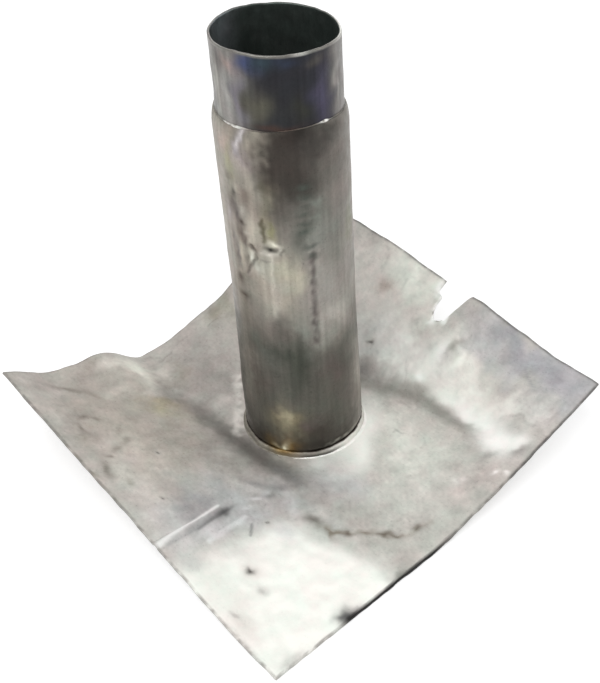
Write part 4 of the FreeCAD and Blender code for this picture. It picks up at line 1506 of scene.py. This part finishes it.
class OUTLET_OT_stage(bpy.types.Operator):
    """Set up the camera, the pale floor and the soft light"""

    bl_idname = "outlet.stage"
    bl_label = "Stage"

    def execute(self, context):
        settings = context.scene.outlet_stage
        set_camera(context.scene, settings)
        lay_floor(context.scene, settings)
        hang_lights(context.scene, settings)
        context.scene.view_settings.view_transform = "Standard"
        return {"FINISHED"}


class OUTLET_OT_sheet(bpy.types.Operator):
    """Dress the lead sheet"""

    bl_idname = "outlet.sheet"
    bl_label = "Dressed Sheet"

    def execute(self, context):
        places, colours = sheet_grid(context.scene.outlet_sheet)
        finish = lead_finish("dressed_lead", grain=26, mottle=0.11, roughness=(0.46, 0.68), metallic=0.45,
                             dents=0.4, drawn=(60, 500, 60), streaks=0.03)
        grid_piece("dressed_sheet", places, colours, "root", "base_sheet", finish)
        return {"FINISHED"}


class OUTLET_OT_pipe(bpy.types.Operator):
    """Roll and burn the lead pipe"""

    bl_idname = "outlet.pipe"
    bl_label = "Burned Pipe"

    def execute(self, context):
        places, colours = pipe_grid(context.scene.outlet_pipe)
        finish = lead_finish("rolled_lead", grain=30, mottle=0.13, roughness=(0.34, 0.54), metallic=0.7,
                             dents=0.3, drawn=(420, 420, 16), streaks=0.05)
        grid_piece("burned_pipe", places, colours, "root", "outlet_pipe", finish)
        return {"FINISHED"}


class OUTLET_OT_spigot(bpy.types.Operator):
    """Fit the heat-tinted spigot"""

    bl_idname = "outlet.spigot"
    bl_label = "Tinted Spigot"

    def execute(self, context):
        places, colours = spigot_grid(context.scene.outlet_spigot)
        finish = lead_finish("tinted_lead", grain=34, mottle=0.12, roughness=(0.28, 0.46), metallic=0.75,
                             dents=0.2, drawn=(480, 480, 20), streaks=0.05)
        grid_piece("tinted_spigot", places, colours, "root", "spigot", finish)
        return {"FINISHED"}


class OUTLET_OT_welds(bpy.types.Operator):
    """Burn the joints at the pipe's foot and lip"""

    bl_idname = "outlet.welds"
    bl_label = "Burned Joints"

    def execute(self, context):
        settings = context.scene.outlet_weld
        finish = lead_finish("burned_lead", grain=60, mottle=0.12, roughness=(0.36, 0.56), metallic=0.4,
                             dents=0.3, drawn=(300, 300, 300), streaks=0.05)
        places, colours = foot_weld_grid(settings)
        grid_piece("foot_joint", places, colours, "root", "base_weld", finish)
        places, colours = lip_weld_grid(settings)
        grid_piece("lip_joint", places, colours, "root", "spigot_weld", finish)
        return {"FINISHED"}


class OUTLET_PT_panel(bpy.types.Panel):
    """Lists the outlet's pieces and their settings"""

    bl_idname = "OUTLET_PT_panel"
    bl_label = "Lead Roof Outlet"
    bl_space_type = "VIEW_3D"
    bl_region_type = "UI"
    bl_category = "Outlet"

    def draw(self, context):
        for operator, group in steps:
            box = self.layout.box()
            box.operator(operator)
            settings = getattr(context.scene, group)
            for key in settings.__annotations__:
                box.prop(settings, key)


steps = (
    ("outlet.stage", "outlet_stage"),
    ("outlet.sheet", "outlet_sheet"),
    ("outlet.pipe", "outlet_pipe"),
    ("outlet.spigot", "outlet_spigot"),
    ("outlet.welds", "outlet_weld"),
)
groups = {
    "outlet_stage": OUTLET_stage_settings,
    "outlet_sheet": OUTLET_sheet_settings,
    "outlet_pipe": OUTLET_pipe_settings,
    "outlet_spigot": OUTLET_spigot_settings,
    "outlet_weld": OUTLET_weld_settings,
}
tools = (OUTLET_OT_stage, OUTLET_OT_sheet, OUTLET_OT_pipe, OUTLET_OT_spigot, OUTLET_OT_welds, OUTLET_PT_panel)


def register():
    """Make the settings, the operators and the panel known."""
    for key, group in groups.items():
        bpy.utils.register_class(group)
        setattr(bpy.types.Scene, key, PointerProperty(type=group))
    for tool in tools:
        bpy.utils.register_class(tool)


def unregister():
    """Take the panel, the operators and the settings away again."""
    for tool in reversed(tools):
        bpy.utils.unregister_class(tool)
    for key, group in groups.items():
        delattr(bpy.types.Scene, key)
        bpy.utils.unregister_class(group)


def main():
    """Build the stage and every piece."""
    register()
    bpy.ops.outlet.stage()
    bpy.ops.outlet.sheet()
    bpy.ops.outlet.pipe()
    bpy.ops.outlet.spigot()
    bpy.ops.outlet.welds()


if __name__ == "__main__":
    main()
